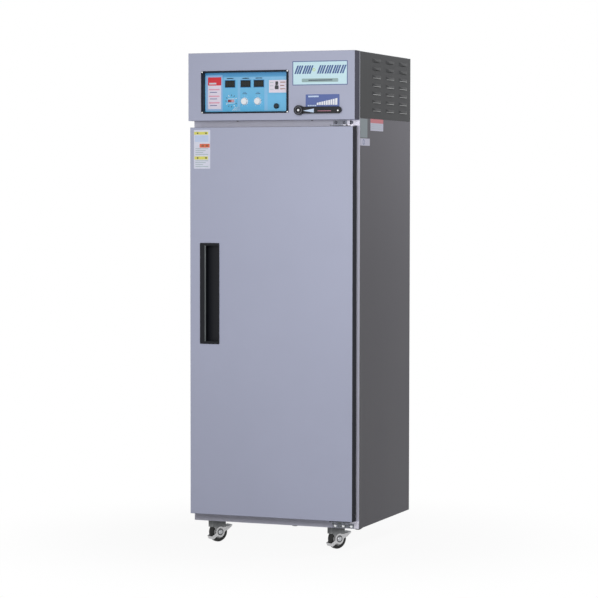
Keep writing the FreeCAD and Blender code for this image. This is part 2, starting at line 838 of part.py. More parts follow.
def heater_element():
    # A rod heater bent into runs across the rear duct, both ends up to the ceiling.
    y = duct_y + duct_depth / 2
    half = heater_run / 2
    z = chamber_z1 - heater_drop
    x = -half
    points = [V(x - heater_bend, y, chamber_z1)]
    edges = [Part.makeLine(points[0], V(x - heater_bend, y, z + heater_bend))]
    corner = heater_bend * (1 - math.sqrt(0.5))
    edges.append(Part.Arc(V(x - heater_bend, y, z + heater_bend),
                          V(x - heater_bend + corner, y, z + corner), V(x, y, z)).toShape())
    way = 1
    for i in range(heater_runs):
        last = i == heater_runs - 1
        end = V(way * half + (way * heater_bend if last else 0), y, z)
        edges.append(Part.makeLine(V(-way * half, y, z), end))
        if not last:
            below = z - 2 * heater_bend
            edges.append(Part.Arc(end, V(end.x + way * heater_bend, y, z - heater_bend),
                                  V(end.x, y, below)).toShape())
            z = below
            way = -way
    circle = Part.Wire(Part.makeCircle(heater_radius, points[0], V(0, 0, -1)))
    element = Part.Wire(edges).makePipeShell([circle], True, False)
    cap_end = end.x + way * heater_cap_length
    cap = rod(heater_cap_radius, end, V(cap_end, end.y, end.z))
    low, high = end.z - heater_stay_reach, end.z + heater_stay_reach
    stay = block(cap_end - heater_stay_sheet / 2, cap_end + heater_stay_sheet / 2, y, chamber_back,
                 low, high)
    strap = block(-heater_strap_width / 2, heater_strap_width / 2,
                  y + heater_radius - heater_strap_sink, chamber_back, low,
                  high + (heater_runs - 1) * 2 * heater_bend)
    return Part.makeCompound([fuse(element, cap, stay), strap])


def temperature_probe():
    x, y = half_width - probe_from_right, frame_y + probe_y_from_frame
    nut = hexagon(probe_nut_radius, V(x, y, chamber_z1 - probe_nut_height), V(x, y, chamber_z1))
    return fuse(nut, rod(probe_radius, V(x, y, chamber_z1 - probe_length),
                         V(x, y, chamber_z1 - probe_nut_height / 2)))


def hexagon(radius, start, end):
    way = end - start
    across = V(1, 0, 0) if abs(way.x) < 0.5 * way.Length else V(0, 1, 0)
    corners = []
    for i in range(7):
        spoke = FreeCAD.Rotation(way, 60 * i).multVec(across)
        corners.append(start + spoke * radius)
    return Part.Face(Part.makePolygon(corners)).extrude(way)


# Exhaust and its damper

def exhaust_duct():
    low, high = V(exhaust_x, exhaust_y, chamber_z1), V(exhaust_x, exhaust_y, top_z - sheet)
    flange_top = V(exhaust_x, exhaust_y, deck_z + exhaust_flange_sheet)
    flange = rod(exhaust_radius + exhaust_flange, V(exhaust_x, exhaust_y, deck_z), flange_top)
    reach = exhaust_radius + damper_boss_length
    boss = rod(damper_boss_radius, V(exhaust_x, exhaust_y - reach, lever_z),
               V(exhaust_x, exhaust_y + reach, lever_z))
    bore = rod(exhaust_radius - exhaust_wall, low, high)
    bearing = rod(damper_shaft_radius + bearing_gap,
                  V(exhaust_x, exhaust_y - reach - through, lever_z),
                  V(exhaust_x, exhaust_y + reach + through, lever_z))
    return cut(fuse(rod(exhaust_radius, low, high), flange, boss), bore, bearing)


def damper_shaft():
    # The lever's shaft, with the throttle flap across the duct.
    start = V(exhaust_x, front_y - lever_reach + lever_shaft_depth, lever_z)
    end = V(exhaust_x, exhaust_y + exhaust_radius + damper_boss_length + damper_shaft_end, lever_z)
    radius = exhaust_radius - exhaust_wall - flap_gap
    flap = rod(radius, V(exhaust_x, exhaust_y, lever_z - flap_sheet / 2),
               V(exhaust_x, exhaust_y, lever_z + flap_sheet / 2))
    return fuse(rod(damper_shaft_radius, start, end), flap)


def damper_lever():
    x, z = exhaust_x, lever_z
    front, back = front_y - lever_reach, front_y - lever_gap
    hub = rod(lever_hub_radius, V(x, front, z), V(x, back, z))
    groove = tube(lever_hub_radius - lever_rim, lever_cap_radius, V(x, front - through, z),
                  V(x, front + lever_groove_depth, z))
    y0, y1 = front_y - lever_standoff - lever_thickness, front_y - lever_standoff
    end = x + lever_length
    arm = block(x, end, y0, y1, z - lever_width / 2, z + lever_width / 2)
    tip = rod(lever_width / 2, V(end, y0, z), V(end, y1, z))
    bar = fuse(arm, tip)
    front_edges = [edge for edge in bar.Edges if edge.BoundBox.XMax > x + through
                   and all(abs(v.Point.y - y0) < 1e-6 for v in edge.Vertexes)]
    bar = bar.makeChamfer(lever_chamfer, front_edges)
    sink = rod(lever_sink_radius, V(end, y0 - through, z), V(end, y0 + lever_sink_depth, z))
    shaft = rod(damper_shaft_radius, V(x, front + lever_shaft_depth, z), V(x, back + through, z))
    return cut(fuse(hub, bar), groove, sink, shaft)


# Header and control panel

def panel_window(grow):
    # The hole inside the bezel, larger by grow on every side.
    return (panel_left + bezel_side - grow, panel_right - bezel_side + grow,
            header_z + panel_bottom + bezel_top - grow, header_z + panel_top - bezel_top + grow)


def header_fascia():
    outside = block(-half_width, half_width, front_y, frame_y, header_z, top_z)
    outside = soften_front(outside, front_y, edge_radius)
    inside = block(-half_width + frame_sheet, half_width - frame_sheet, front_y + frame_sheet,
                   frame_y + through, header_z + frame_sheet, top_z - frame_sheet)
    x0, x1, z0, z1 = panel_window(bezel_wall + fit_gap)
    near, far = front_y - through, front_y + frame_sheet + through
    window = block(x0, x1, near, far, z0, z1)
    hole = rod(damper_shaft_radius + lever_hole_gap, V(exhaust_x, near, lever_z),
               V(exhaust_x, far, lever_z))
    return cut(outside, inside, window, hole)


def control_bezel():
    y0, y1 = front_y - bezel_proud, plate_y
    z0, z1 = header_z + panel_bottom, header_z + panel_top
    flange = rounded_block(panel_left, panel_right, y0, front_y, z0, z1, bezel_corner,
                           V(0, 1, 0))
    a, b, c, d = panel_window(bezel_wall)
    wall = block(a, b, front_y, y1, c, d)
    a, b, c, d = panel_window(0)
    hole = rounded_block(a, b, y0 - through, y1 + through, c, d, bezel_hole_corner, V(0, 1, 0))
    return cut(fuse(flange, wall), hole)


def panel_pieces():
    # x and z of the two knobs, the switch and the button.
    knobs = [(panel_left + offset, header_z + knob_height_pos) for offset in knob_offsets]
    switch = (panel_left + switch_offset, header_z + switch_height_pos)
    button = (panel_left + button_offset, header_z + button_height_pos)
    return knobs, switch, button


def control_plate():
    knobs, (sx, sz), (bx, bz) = panel_pieces()
    a, b, c, d = panel_window(bezel_wall)
    y1 = plate_y + plate_thickness
    plate = block(a, b, plate_y, y1, c, d)
    w, h = switch_width / 2, switch_height / 2
    case = block(sx - w, sx + w, plate_y - switch_proud, plate_y + switch_depth, sz - h, sz + h)
    inside = block(sx - w + switch_wall, sx + w - switch_wall, plate_y - switch_proud - through,
                   plate_y + switch_depth - switch_wall, sz - h + switch_wall, sz + h - switch_wall)
    pins = rod(switch_pin_radius + bearing_gap, V(sx, plate_y + switch_pivot, sz - h - through),
               V(sx, plate_y + switch_pivot, sz + h + through))
    near, far = plate_y - through, y1 + through
    holes = [rod(knob_shaft_radius + bearing_gap, V(x, near, z), V(x, far, z)) for x, z in knobs]
    holes.append(rod(button_stem_radius + bearing_gap, V(bx, near, bz), V(bx, far, bz)))
    return cut(fuse(plate, case), inside, pins, *holes)


def display_windows():
    z = header_z + window_height_pos
    panes = []
    for offset in window_offsets:
        x = panel_left + offset
        panes.append(block(x - window_width / 2, x + window_width / 2, plate_y - window_thickness,
                           plate_y, z - window_height / 2, z + window_height / 2))
    return Part.makeCompound(panes)


def revolved(points, x, z):
    # A body turned about the line along Y through x and z, from (radius, y) points.
    corners = [V(x + radius, y, z) for radius, y in points]
    face = Part.Face(Part.makePolygon(corners + corners[:1]))
    return face.revolve(V(x, 0, z), V(0, 1, 0), 360)


def knob(x, z):
    back = plate_y - knob_gap
    front = back - knob_height
    shaft_end = plate_y + board_gap - board_shaft_gap
    foot = knob_radius - knob_skirt
    crown = foot - knob_taper
    skirt = back - knob_skirt_height
    body = revolved([(0, front), (crown - knob_edge, front), (crown, front + knob_edge),
                     (foot, skirt - knob_skirt_slope), (knob_radius, skirt), (knob_radius, back),
                     (knob_shaft_radius, back), (knob_shaft_radius, shaft_end), (0, shaft_end)],
                    x, z)
    mark = block(x - knob_mark_width / 2, x + knob_mark_width / 2, front - through,
                 front + knob_mark_depth, z + knob_mark_start, z + knob_radius)
    return cut(body, mark)


def power_switch():
    knobs, (x, z), button = panel_pieces()
    w = switch_width / 2 - switch_wall - rocker_side_gap
    h = switch_height / 2 - switch_wall - rocker_end_gap
    pivot = plate_y + switch_pivot
    crown = plate_y - rocker_proud
    shoulder, foot = pivot + rocker_shoulder, pivot + rocker_depth
    outline = [(x - w, crown), (x, crown + rocker_dip), (x + w, crown), (x + w, shoulder),
               (x + rocker_foot, foot), (x - rocker_foot, foot), (x - w, shoulder)]
    body = prism(outline, "xy", z - h, z + h)
    pin = switch_height / 2 - switch_pin_gap
    pins = rod(switch_pin_radius, V(x, pivot, z - pin), V(x, pivot, z + pin))
    rocker = fuse(body, pins)
    rocker.rotate(V(x, pivot, z), V(0, 0, 1), -switch_tilt)
    return rocker


def reset_button():
    knobs, switch, (x, z) = panel_pieces()
    back = plate_y - button_travel - button_gap
    front = back - button_height
    end = plate_y + board_gap - button_travel - button_stem_gap
    return revolved([(0, front), (button_radius - button_bevel, front),
                     (button_radius, front + button_bevel),
                     (button_radius, back), (button_stem_radius, back), (button_stem_radius, end),
                     (0, end)], x, z)


def circuit_board():
    # The board behind the plate, on spacers, with transformer, relays and the pots.
    a, b, c, d = panel_window(-board_margin)
    y = plate_y + board_gap
    front = y + board_thickness
    back = plate_y + plate_thickness
    board = block(a, b, y, front, c, d)
    inset = board_spacer_inset
    spacers = [rod(board_spacer_radius, V(px, back, pz), V(px, y, pz))
               for px in (a + inset, b - inset) for pz in (c + inset, d - inset)]
    x0, z0 = a + transformer_inset, c + transformer_inset
    parts = [block(x0, x0 + transformer_size, front, y + transformer_height, z0,
                   z0 + transformer_size)]
    for i in range(relays):
        x0 = a + relay_first + i * relay_pitch
        parts.append(block(x0, x0 + relay_length, front, y + relay_height,
                           d - relay_top - relay_width, d - relay_top))
    pots = [rod(pot_radius, V(x, back + pot_gap, z), V(x, y, z)) for x, z in panel_pieces()[0]]
    bores = [rod(knob_shaft_radius + bearing_gap, V(x, back, z), V(x, y - pot_gap, z))
             for x, z in panel_pieces()[0]]
    sockets = [cut(pot, bore) for pot, bore in zip(pots, bores)]
    return fuse(board, *spacers, *parts, *sockets)


# Hinges, their screws and the screws of the bezel

def hinge_heights(side):
    # Heights of the leaf's near and far side and of the flange's edge; side is 1 for the top.
    seat, limit = (door_z1, header_z) if side > 0 else (door_z0, body_z)
    near = seat + side * hinge_gap
    return near, near + side * hinge_sheet, limit - side * hinge_flange_margin


def hinge_bracket(side):
    # A flange on the frame, a leaf out over the door's end, and the pin with its collar.
    near, far, edge = hinge_heights(side)
    x0, x1 = hinge_x - hinge_leaf_left, hinge_x + hinge_leaf_right
    leaf = block(x0, x1, hinge_y - hinge_leaf_front, frame_y, min(near, far), max(near, far))
    leaf = leaf.makeFillet(hinge_leaf_corner,
                           edges_along(leaf, V(0, 0, 1), lambda e: e.BoundBox.YMax < hinge_y))
    flange = block(x0, hinge_x + hinge_flange_right, frame_y - hinge_sheet, frame_y,
                   min(near, edge), max(near, edge))
    pin_end = near - side * (hinge_gap + hinge_pin_length)
    pin = rod(hinge_pin_radius, V(hinge_x, hinge_y, near), V(hinge_x, hinge_y, pin_end))
    collar_end = near - side * (hinge_gap - hinge_collar_gap)
    collar = rod(hinge_collar_radius, V(hinge_x, hinge_y, near), V(hinge_x, hinge_y, collar_end))
    holes = [rod(hinge_screw_radius, V(x, frame_y - 2 * hinge_sheet, z), V(x, frame_y + through, z))
             for x, z in hinge_screws_at(side)]
    return cut(fuse(leaf, flange, pin, collar), *holes)


def hinge_screws_at(side):
    z = hinge_heights(side)[2] - side * hinge_screw_margin
    return [(hinge_x - hinge_screw_centre + i * hinge_screw_spacing, z) for i in (-1, 0, 1)]


def screws():
    pieces = []
    for side in (-1, 1):
        for x, z in hinge_screws_at(side):
            face = frame_y - hinge_sheet
            head = Part.makeCone(hinge_head_radius, hinge_head_crown, hinge_head_height,
                                 V(x, face, z), V(0, -1, 0))
            pieces.append(fuse(head, rod(hinge_screw_radius, V(x, face, z), V(x, frame_y, z))))
    for x in (panel_left + bezel_screw_side, panel_right - bezel_screw_side):
        for z in (header_z + panel_bottom + bezel_screw_top, header_z + panel_top - bezel_screw_top):
            face = front_y - bezel_proud
            pieces.append(Part.makeCone(bezel_head_radius, bezel_head_crown, bezel_head_height,
                                        V(x, face, z), V(0, -1, 0)))
    return Part.makeCompound(pieces)


# Door

def door_outline(inset=0.0):
    return -door_half + inset, door_half - inset, door_z0 + inset, door_z1 - inset


def handle_hole(grow):
    return (handle_x0 + handle_shell - grow, handle_x1 - handle_shell + grow,
            handle_z0 + handle_shell - grow, handle_z1 - handle_shell + grow)


def hinge_bosses():
    bosses = []
    for seat, way in ((door_z0, 1), (door_z1, -1)):
        z0, z1 = sorted((seat, seat + way * (hinge_pin_length + hinge_boss_wall)))
        bosses.append(block(door_half - hinge_boss, door_half, front_y,
                            front_y + hinge_boss + hinge_boss_back, z0, z1))
    return bosses


def pin_holes():
    holes = []
    for seat, way in ((door_z0, 1), (door_z1, -1)):
        z0, z1 = sorted((seat - way * through, seat + way * (hinge_pin_length + hinge_pin_end_gap)))
        holes.append(rod(hinge_pin_radius + bearing_gap, V(hinge_x, hinge_y, z0),
                         V(hinge_x, hinge_y, z1)))
    return holes


def door_skin():
    a, b, c, d = door_outline()
    outside = soften_front(block(a, b, front_y, door_back - sheet, c, d), front_y, edge_radius)
    a, b, c, d = door_outline(sheet)
    inside = block(a, b, front_y + sheet, door_back, c, d)
    a, b, c, d = handle_hole(fit_gap)
    hole = block(a, b, front_y - through, front_y + 2 * sheet, c, d)
    # The bosses that take the pins are welded inside the two right corners.
    envelope = block(*door_outline(sheet)[:2], front_y + sheet, door_back - sheet,
                     *door_outline(sheet)[2:])
    bosses = [boss.common(envelope) for boss in hinge_bosses()]
    return cut(fuse(cut(outside, inside, hole), *bosses), *pin_holes())


def door_insulation():
    a, b, c, d = door_outline(sheet)
    core = block(a, b, front_y + sheet, door_back - sheet, c, d)
    a, b, c, d = handle_hole(fit_gap)
    pocket = block(a, b, front_y, front_y + handle_pocket + handle_shell + fit_gap, c, d)
    return cut(core, pocket, *hinge_bosses())


def gasket_outline(grow=0.0):
    inset = gasket_inset - grow
    return door_outline(inset)


def door_inner_panel():
    # The back sheet, with its middle field raised towards the chamber.
    a, b, c, d = door_outline()
    sheet_back = block(a, b, door_back - sheet, door_back, c, d)
    low = gasket_outline(-gasket_width - dish_margin)
    high = gasket_outline(-gasket_width - dish_margin - dish_slope)
    field = frustum(low, door_back, high, door_back + dish_depth)
    dent = frustum(gasket_outline(-gasket_width - dish_margin - sheet), door_back - sheet,
                   gasket_outline(-gasket_width - dish_margin - dish_slope - sheet),
                   door_back + dish_depth - sheet)
    return cut(fuse(sheet_back, field), dent)


def frustum(low, y0, high, y1):
    wires = []
    for (a, b, c, d), y in ((low, y0), (high, y1)):
        corners = [V(a, y, c), V(b, y, c), V(b, y, d), V(a, y, d)]
        wires.append(Part.makePolygon(corners + corners[:1]))
    return Part.makeLoft(wires, True, True)


def door_gasket():
    y0, y1 = door_back, frame_y - gasket_gap
    a, b, c, d = gasket_outline()
    e, f, g, h = gasket_outline(-gasket_width)
    ring = cut(block(a, b, y0, y1, c, d), block(e, f, y0 - through, y1 + through, g, h))
    def at_bulb(edge):
        return all(abs(vertex.Point.y - y1) < 1e-6 for vertex in edge.Vertexes)
    return ring.makeFillet(gasket_bulb, edges_along(ring, V(1, 0, 0), at_bulb)
                           + edges_along(ring, V(0, 0, 1), at_bulb))


def door_handle():
    y0 = front_y - handle_proud
    flange = rounded_block(handle_x0, handle_x1, y0, front_y, handle_z0, handle_z1,
                           handle_corner, V(0, 1, 0))
    a, b, c, d = handle_hole(0)
    floor_y = front_y + handle_pocket
    cup = block(a, b, front_y, floor_y + handle_shell, c, d)
    lip_x = handle_x0 + handle_lip
    mouth = rounded_block(lip_x, b - handle_shell, y0 - through, floor_y, c + handle_border,
                          d - handle_border, handle_mouth_corner, V(0, 1, 0))
    undercut = block(lip_x - handle_undercut, lip_x + handle_mouth_overlap,
                     front_y + lip_thickness, floor_y, c + handle_border, d - handle_border)
    crest = rod(handle_crest_radius, V(lip_x - handle_crest_radius, y0, c + handle_border),
                V(lip_x - handle_crest_radius, y0, d - handle_border))
    return cut(fuse(flange, cup, crest), mouth, undercut)


# Casters, drawn about their swivel axis with the wheel trailing along +X

def caster_places():
    front_x, rear_x = half_width - front_caster_inset, half_width - rear_caster_inset
    front, rear = frame_y + front_caster_setback, back_y - rear_caster_setback
    return {
        "front_left": (-front_x, front, front_swivel),
        "front_right": (front_x, front, front_swivel),
        "rear_left": (-rear_x, rear, rear_swivel),
        "rear_right": (rear_x, rear, rear_swivel),
    }


def caster_bolt_places():
    places = []
    for x, y, swivel in caster_places().values():
        for i in (-0.5, 0.5):
            for j in (-0.5, 0.5):
                places.append((x + i * caster_bolt_spacing_x, y + j * caster_bolt_spacing_y))
    return places


def caster_plates():
    # Mounting plate, upper ball race and king pin of each caster.
    z1 = caster_height
    z0 = z1 - caster_plate_thickness
    under_fork = fork_top - fork_sheet - king_head_height
    length, width = caster_plate_length / 2, caster_plate_width / 2
    holes = [rod(caster_bolt_radius, V(x, y, z0 - through), V(x, y, z1 + through))
             for x, y in caster_bolt_places()]
    plates = []
    for x, y, swivel in caster_places().values():
        plate = rounded_block(x - length, x + length, y - width, y + width, z0, z1,
                              caster_plate_corner, V(0, 0, 1))
        race = Part.makeCone(plate_race_radius, plate_race_radius + plate_race_flare,
                             plate_race_height,
                             V(x, y, z0 - plate_race_height), V(0, 0, 1))
        pin = rod(king_pin_radius, V(x, y, under_fork), V(x, y, z0))
        head = rod(king_head_radius, V(x, y, under_fork),
                   V(x, y, under_fork + king_head_height - king_head_gap))
        plates.append(cut(fuse(plate, race, pin, head), *holes))
    return Part.makeCompound(plates)


def caster_bolts():
    z0 = caster_height - caster_plate_thickness
    bolts = []
    for x, y in caster_bolt_places():
        head = hexagon(caster_bolt_head, V(x, y, z0 - caster_bolt_head_height), V(x, y, z0))
        bolts.append(fuse(head, rod(caster_bolt_radius, V(x, y, z0), V(x, y, pan_z))))
    return Part.makeCompound(bolts)


def fork():
    # Pressed steel: a cap over the wheel, two legs down to the axle, and the lower race.
    x, z = caster_trail, wheel_radius
    half = fork_inside + fork_sheet
    upright = V(0, 0, 1)
    cap = rounded_block(fork_front - fork_corner, fork_back, -half, half, fork_skirt, fork_top,
                        fork_corner, upright)
    room = rounded_block(fork_front - 2 * fork_corner, fork_back - fork_sheet, -fork_inside,
                         fork_inside, fork_skirt - through, fork_top - fork_sheet,
                         fork_corner - fork_sheet, upright)
    front = block(fork_front - 2 * fork_corner, fork_front, -half - through, half + through,
                  fork_skirt - through, fork_top - fork_sheet)
    legs = []
    back, over = fork_back - fork_corner, fork_skirt + through
    for side in (-1, 1):
        y0, y1 = sorted((side * fork_inside, side * half))
        leg = prism([(fork_front, over), (fork_front, fork_skirt), (x - fork_leg_half, z),
                     (x + fork_leg_half, z - fork_leg_drop), (back, fork_skirt), (back, over)],
                    "xz", y0, y1)
        legs.append(fuse(leg, rod(fork_boss_radius, V(x, y0, z), V(x, y1, z))))
    race_top = caster_height - caster_plate_thickness - plate_race_height - race_gap
    collar = rod(fork_race_radius, V(0, 0, fork_top - fork_sheet), V(0, 0, fork_top))
    race = Part.makeCone(fork_race_radius, plate_race_radius + fork_race_flare,
                         race_top - fork_top, V(0, 0, fork_top), upright)
    past = V(0, 0, race_top + through)
    pin = rod(king_pin_radius + bearing_gap, V(0, 0, fork_skirt), past)
    cup = rod(plate_race_radius + race_cup_gap, V(0, 0, fork_top + race_cup_floor), past)
    hole = rod(axle_radius, V(x, -half - through, z), V(x, half + through, z))
    return cut(fuse(cut(cap, room, front), collar, race, *legs), pin, cup, hole)


def turned_on_axle(points):
    # Turned about the axle, from (radius, distance along the axle) points.
    corners = [V(caster_trail + radius, w, wheel_radius) for radius, w in points]
    face = Part.Face(Part.makePolygon(corners + corners[:1]))
    return face.revolve(V(caster_trail, 0, wheel_radius), V(0, 1, 0), 360)


def wheel_hub():
    half, end = wheel_width / 2, fork_inside - hub_side_gap
    bore = axle_radius + bearing_gap
    boss, foot = hub_boss_radius, hub_boss_radius + hub_boss_slope
    rim, web = hub_radius - hub_rim, hub_radius - hub_rim - hub_rim_slope
    deep, edge = half - hub_web_inset, half - hub_rim_inset
    return turned_on_axle([(bore, -end), (boss, -end), (foot, -deep), (web, -deep), (rim, -edge),
                           (hub_radius, -edge), (hub_radius, edge), (rim, edge), (web, deep),
                           (foot, deep), (boss, end), (bore, end)])


def tyre():
    half, r = wheel_width / 2, wheel_radius
    edge = half - hub_rim_inset
    shoulder, bevel = tyre_shoulder, tyre_edge
    return turned_on_axle([(hub_radius, -edge), (r - shoulder, -half), (r - bevel, -half + bevel),
                           (r, -half + shoulder), (r, half - shoulder), (r - bevel, half - bevel),
                           (r - shoulder, half), (hub_radius, edge)])


def axle(reach):
    # A bolt with a domed head outside and a nut at its other end.
    x, z = caster_trail, wheel_radius
    bolt = rod(axle_radius, V(x, -reach, z), V(x, reach, z))
    head = Part.makeCone(axle_head_radius, axle_head_radius - axle_head_dome, axle_head_height,
                         V(x, reach, z), V(0, 1, 0))
    nut = hexagon(axle_nut_radius, V(x, -reach - axle_nut_height, z), V(x, -reach, z))
    return fuse(bolt, head, nut)


def brake_lever():
    # Two discs about the axle outside the fork, each with a pedal arm and a pad arm; the pedal
    # and the pad, across the tyre, join them.
    x, z = caster_trail, wheel_radius
    y0 = fork_inside + fork_sheet + brake_gap
    y1 = y0 + brake_sheet
    axis = V(0, 1, 0)
    reach = wheel_radius + brake_pad_gap + brake_sheet
    half = brake_pad_width / 2

    def pad_bar(start, low, high):
        bar = block(start, reach, low, high, -half, half)
        bar.rotate(V(0, 0, 0), axis, brake_pad_drop)
        bar.translate(V(x, 0, z))
        return bar

    pieces = [pad_bar(reach - brake_sheet, -y1, y1)]
    grooves = []
    for side in (-1, 1):
        low, high = sorted((side * y0, side * y1))
        pieces.append(rod(brake_disc_radius, V(x, low, z), V(x, high, z)))
        pieces.append(pad_bar(0, low, high))
        pieces.append(prism([(x + u, z + v) for u, v in brake_arm], "xz", low, high))
        grooves.append(tube(brake_groove_radius + brake_groove_width, brake_groove_radius,
                            V(x, side * (y1 - brake_sheet / 2), z),
                            V(x, side * (y1 + through), z)))
    pieces.append(prism([(x + u, z + v) for u, v in brake_tread], "xz", -y1, y1))
    bore = rod(axle_radius + bearing_gap, V(x, -y1 - through, z), V(x, y1 + through, z))
    return cut(fuse(*pieces), bore, *grooves)


def at_caster(shape, place):
    x, y, swivel = place
    shape = shape.copy()
    shape.rotate(V(0, 0, 0), V(0, 0, 1), swivel)
    shape.translate(V(x, y, 0))
    return shape


def build():
    knobs = panel_pieces()[0]
    nodes = {
        "left_side_panel": lower_side_panel(-1),
        "right_side_panel": lower_side_panel(1),
        "left_upper_panel": upper_side_panel(-1),
        "right_upper_panel": upper_side_panel(1),
        "rear_panel": rear_panel(),
        "top_cover": top_cover(),
        "front_frame": front_frame(),
        "base_frame": base_frame(),
        "machine_deck": machine_deck(),
        "inner_liner": inner_liner(),
        "insulation": insulation(),
        "header_fascia": header_fascia(),
        "control_bezel": control_bezel(),
        "control_plate": control_plate(),
        "display_windows": display_windows(),
        "fasteners": Part.makeCompound([screws(), caster_bolts()]),
        "exhaust_duct": exhaust_duct(),
        "air_duct_panel": air_duct_panel(),
        "shelf_pilasters": Part.makeCompound([pilaster(*place) for place in pilaster_places()]),
        "shelf_clips": shelf_clips(),
        "fan_motor": fan_motor(),
        "heater_element": heater_element(),
        "temperature_probe": temperature_probe(),
        "circuit_board": circuit_board(),
        "hinge_bracket_top": hinge_bracket(1),
        "hinge_bracket_bottom": hinge_bracket(-1),
        "caster_plates": caster_plates(),
        "damper_lever": damper_lever(),
        "damper_shaft": damper_shaft(),
        "temperature_knob": knob(*knobs[0]),
        "timer_knob": knob(*knobs[1]),
        "power_switch": power_switch(),
        "reset_button": reset_button(),
        "fan_wheel": fan_wheel(),
        "door_skin": door_skin(),
        "door_inner_panel": door_inner_panel(),
        "door_insulation": door_insulation(),
        "door_gasket": door_gasket(),
        "door_handle": door_handle(),
    }
    for i, z in enumerate(shelf_heights()):
        nodes["shelf_%d" % (i + 1)] = shelf(z)
    leg_face = fork_inside + fork_sheet
    lever_face = leg_face + 2 * brake_gap + brake_sheet
    pieces = {"fork": fork(), "hub": wheel_hub(), "tyre": tyre()}
    for place_name, place in caster_places().items():
        braked = place_name.startswith("front")
        for name, shape in pieces.items():
            nodes["%s_%s" % (name, place_name)] = at_caster(shape, place)
        nodes["axle_%s" % place_name] = at_caster(axle(lever_face if braked else leg_face), place)
        if braked:
            nodes["brake_%s" % place_name] = at_caster(brake_lever(), place)
    return nodes


for name, shape in build().items():
    bad = [solid for solid in shape.Solids if not solid.isValid() or solid.Volume <= 0]
    print("%-22s solids %2d  faces %4d  volume %.0f%s" % (
        name, len(shape.Solids), len(shape.Faces), shape.Volume, "  BAD" if bad else ""))
    shape.exportStep("parts/%s.step" % name)
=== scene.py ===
import math

import bmesh
import bpy
from mathutils import Matrix, Vector


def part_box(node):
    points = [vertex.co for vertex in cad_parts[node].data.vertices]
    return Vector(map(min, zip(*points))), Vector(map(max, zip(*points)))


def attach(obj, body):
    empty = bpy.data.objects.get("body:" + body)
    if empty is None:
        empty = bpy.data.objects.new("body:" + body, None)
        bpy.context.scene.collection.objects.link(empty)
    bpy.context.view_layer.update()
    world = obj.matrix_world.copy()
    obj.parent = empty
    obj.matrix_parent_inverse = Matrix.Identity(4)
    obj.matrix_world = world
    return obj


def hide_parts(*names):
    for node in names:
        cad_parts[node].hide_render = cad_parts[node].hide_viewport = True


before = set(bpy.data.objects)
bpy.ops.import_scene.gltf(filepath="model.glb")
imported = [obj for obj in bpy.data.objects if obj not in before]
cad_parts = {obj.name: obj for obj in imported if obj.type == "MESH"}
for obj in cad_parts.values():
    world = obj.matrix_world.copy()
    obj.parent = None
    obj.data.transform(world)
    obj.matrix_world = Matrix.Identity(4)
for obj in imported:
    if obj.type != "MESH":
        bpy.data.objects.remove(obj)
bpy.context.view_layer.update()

# Places that everything below hangs on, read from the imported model.
headerLow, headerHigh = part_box("header_fascia")
doorLow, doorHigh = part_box("door_skin")
plateLow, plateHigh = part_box("control_plate")
frameLow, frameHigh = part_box("front_frame")
rightLow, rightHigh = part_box("right_side_panel")
rearLow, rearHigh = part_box("rear_panel")
leverLow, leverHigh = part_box("damper_lever")
windowsLow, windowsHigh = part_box("display_windows")
print("frame loaded:", len(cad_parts), "nodes")


# Shader sockets with Python operators

class Wire:
    def __init__(self, paint, socket):
        self.paint = paint
        self.socket = socket

    def maths(self, operation, *values):
        return self.paint.node("ShaderNodeMath", {"operation": operation}, dict(enumerate(values)))

    def __add__(self, other):
        return self.maths("ADD", self, other)

    def __radd__(self, other):
        return self.maths("ADD", other, self)

    def __sub__(self, other):
        return self.maths("SUBTRACT", self, other)

    def __rsub__(self, other):
        return self.maths("SUBTRACT", other, self)

    def __mul__(self, other):
        return self.maths("MULTIPLY", self, other)

    def __rmul__(self, other):
        return self.maths("MULTIPLY", other, self)

    def __truediv__(self, other):
        return self.maths("DIVIDE", self, other)

    def __gt__(self, other):
        return self.maths("GREATER_THAN", self, other)

    def __lt__(self, other):
        return self.maths("LESS_THAN", self, other)

    def bigger(self, other):
        return self.maths("MAXIMUM", self, other)

    def sized(self):
        return self.maths("ABSOLUTE", self)

    def power(self, exponent):
        return self.maths("POWER", self, exponent)

    def fade(self, low, high):
        # 0 below low, 1 above high, smooth between
        return self.paint.node("ShaderNodeMapRange", {"interpolation_type": "SMOOTHSTEP"},
                               {"Value": self, "From Min": low, "From Max": high})


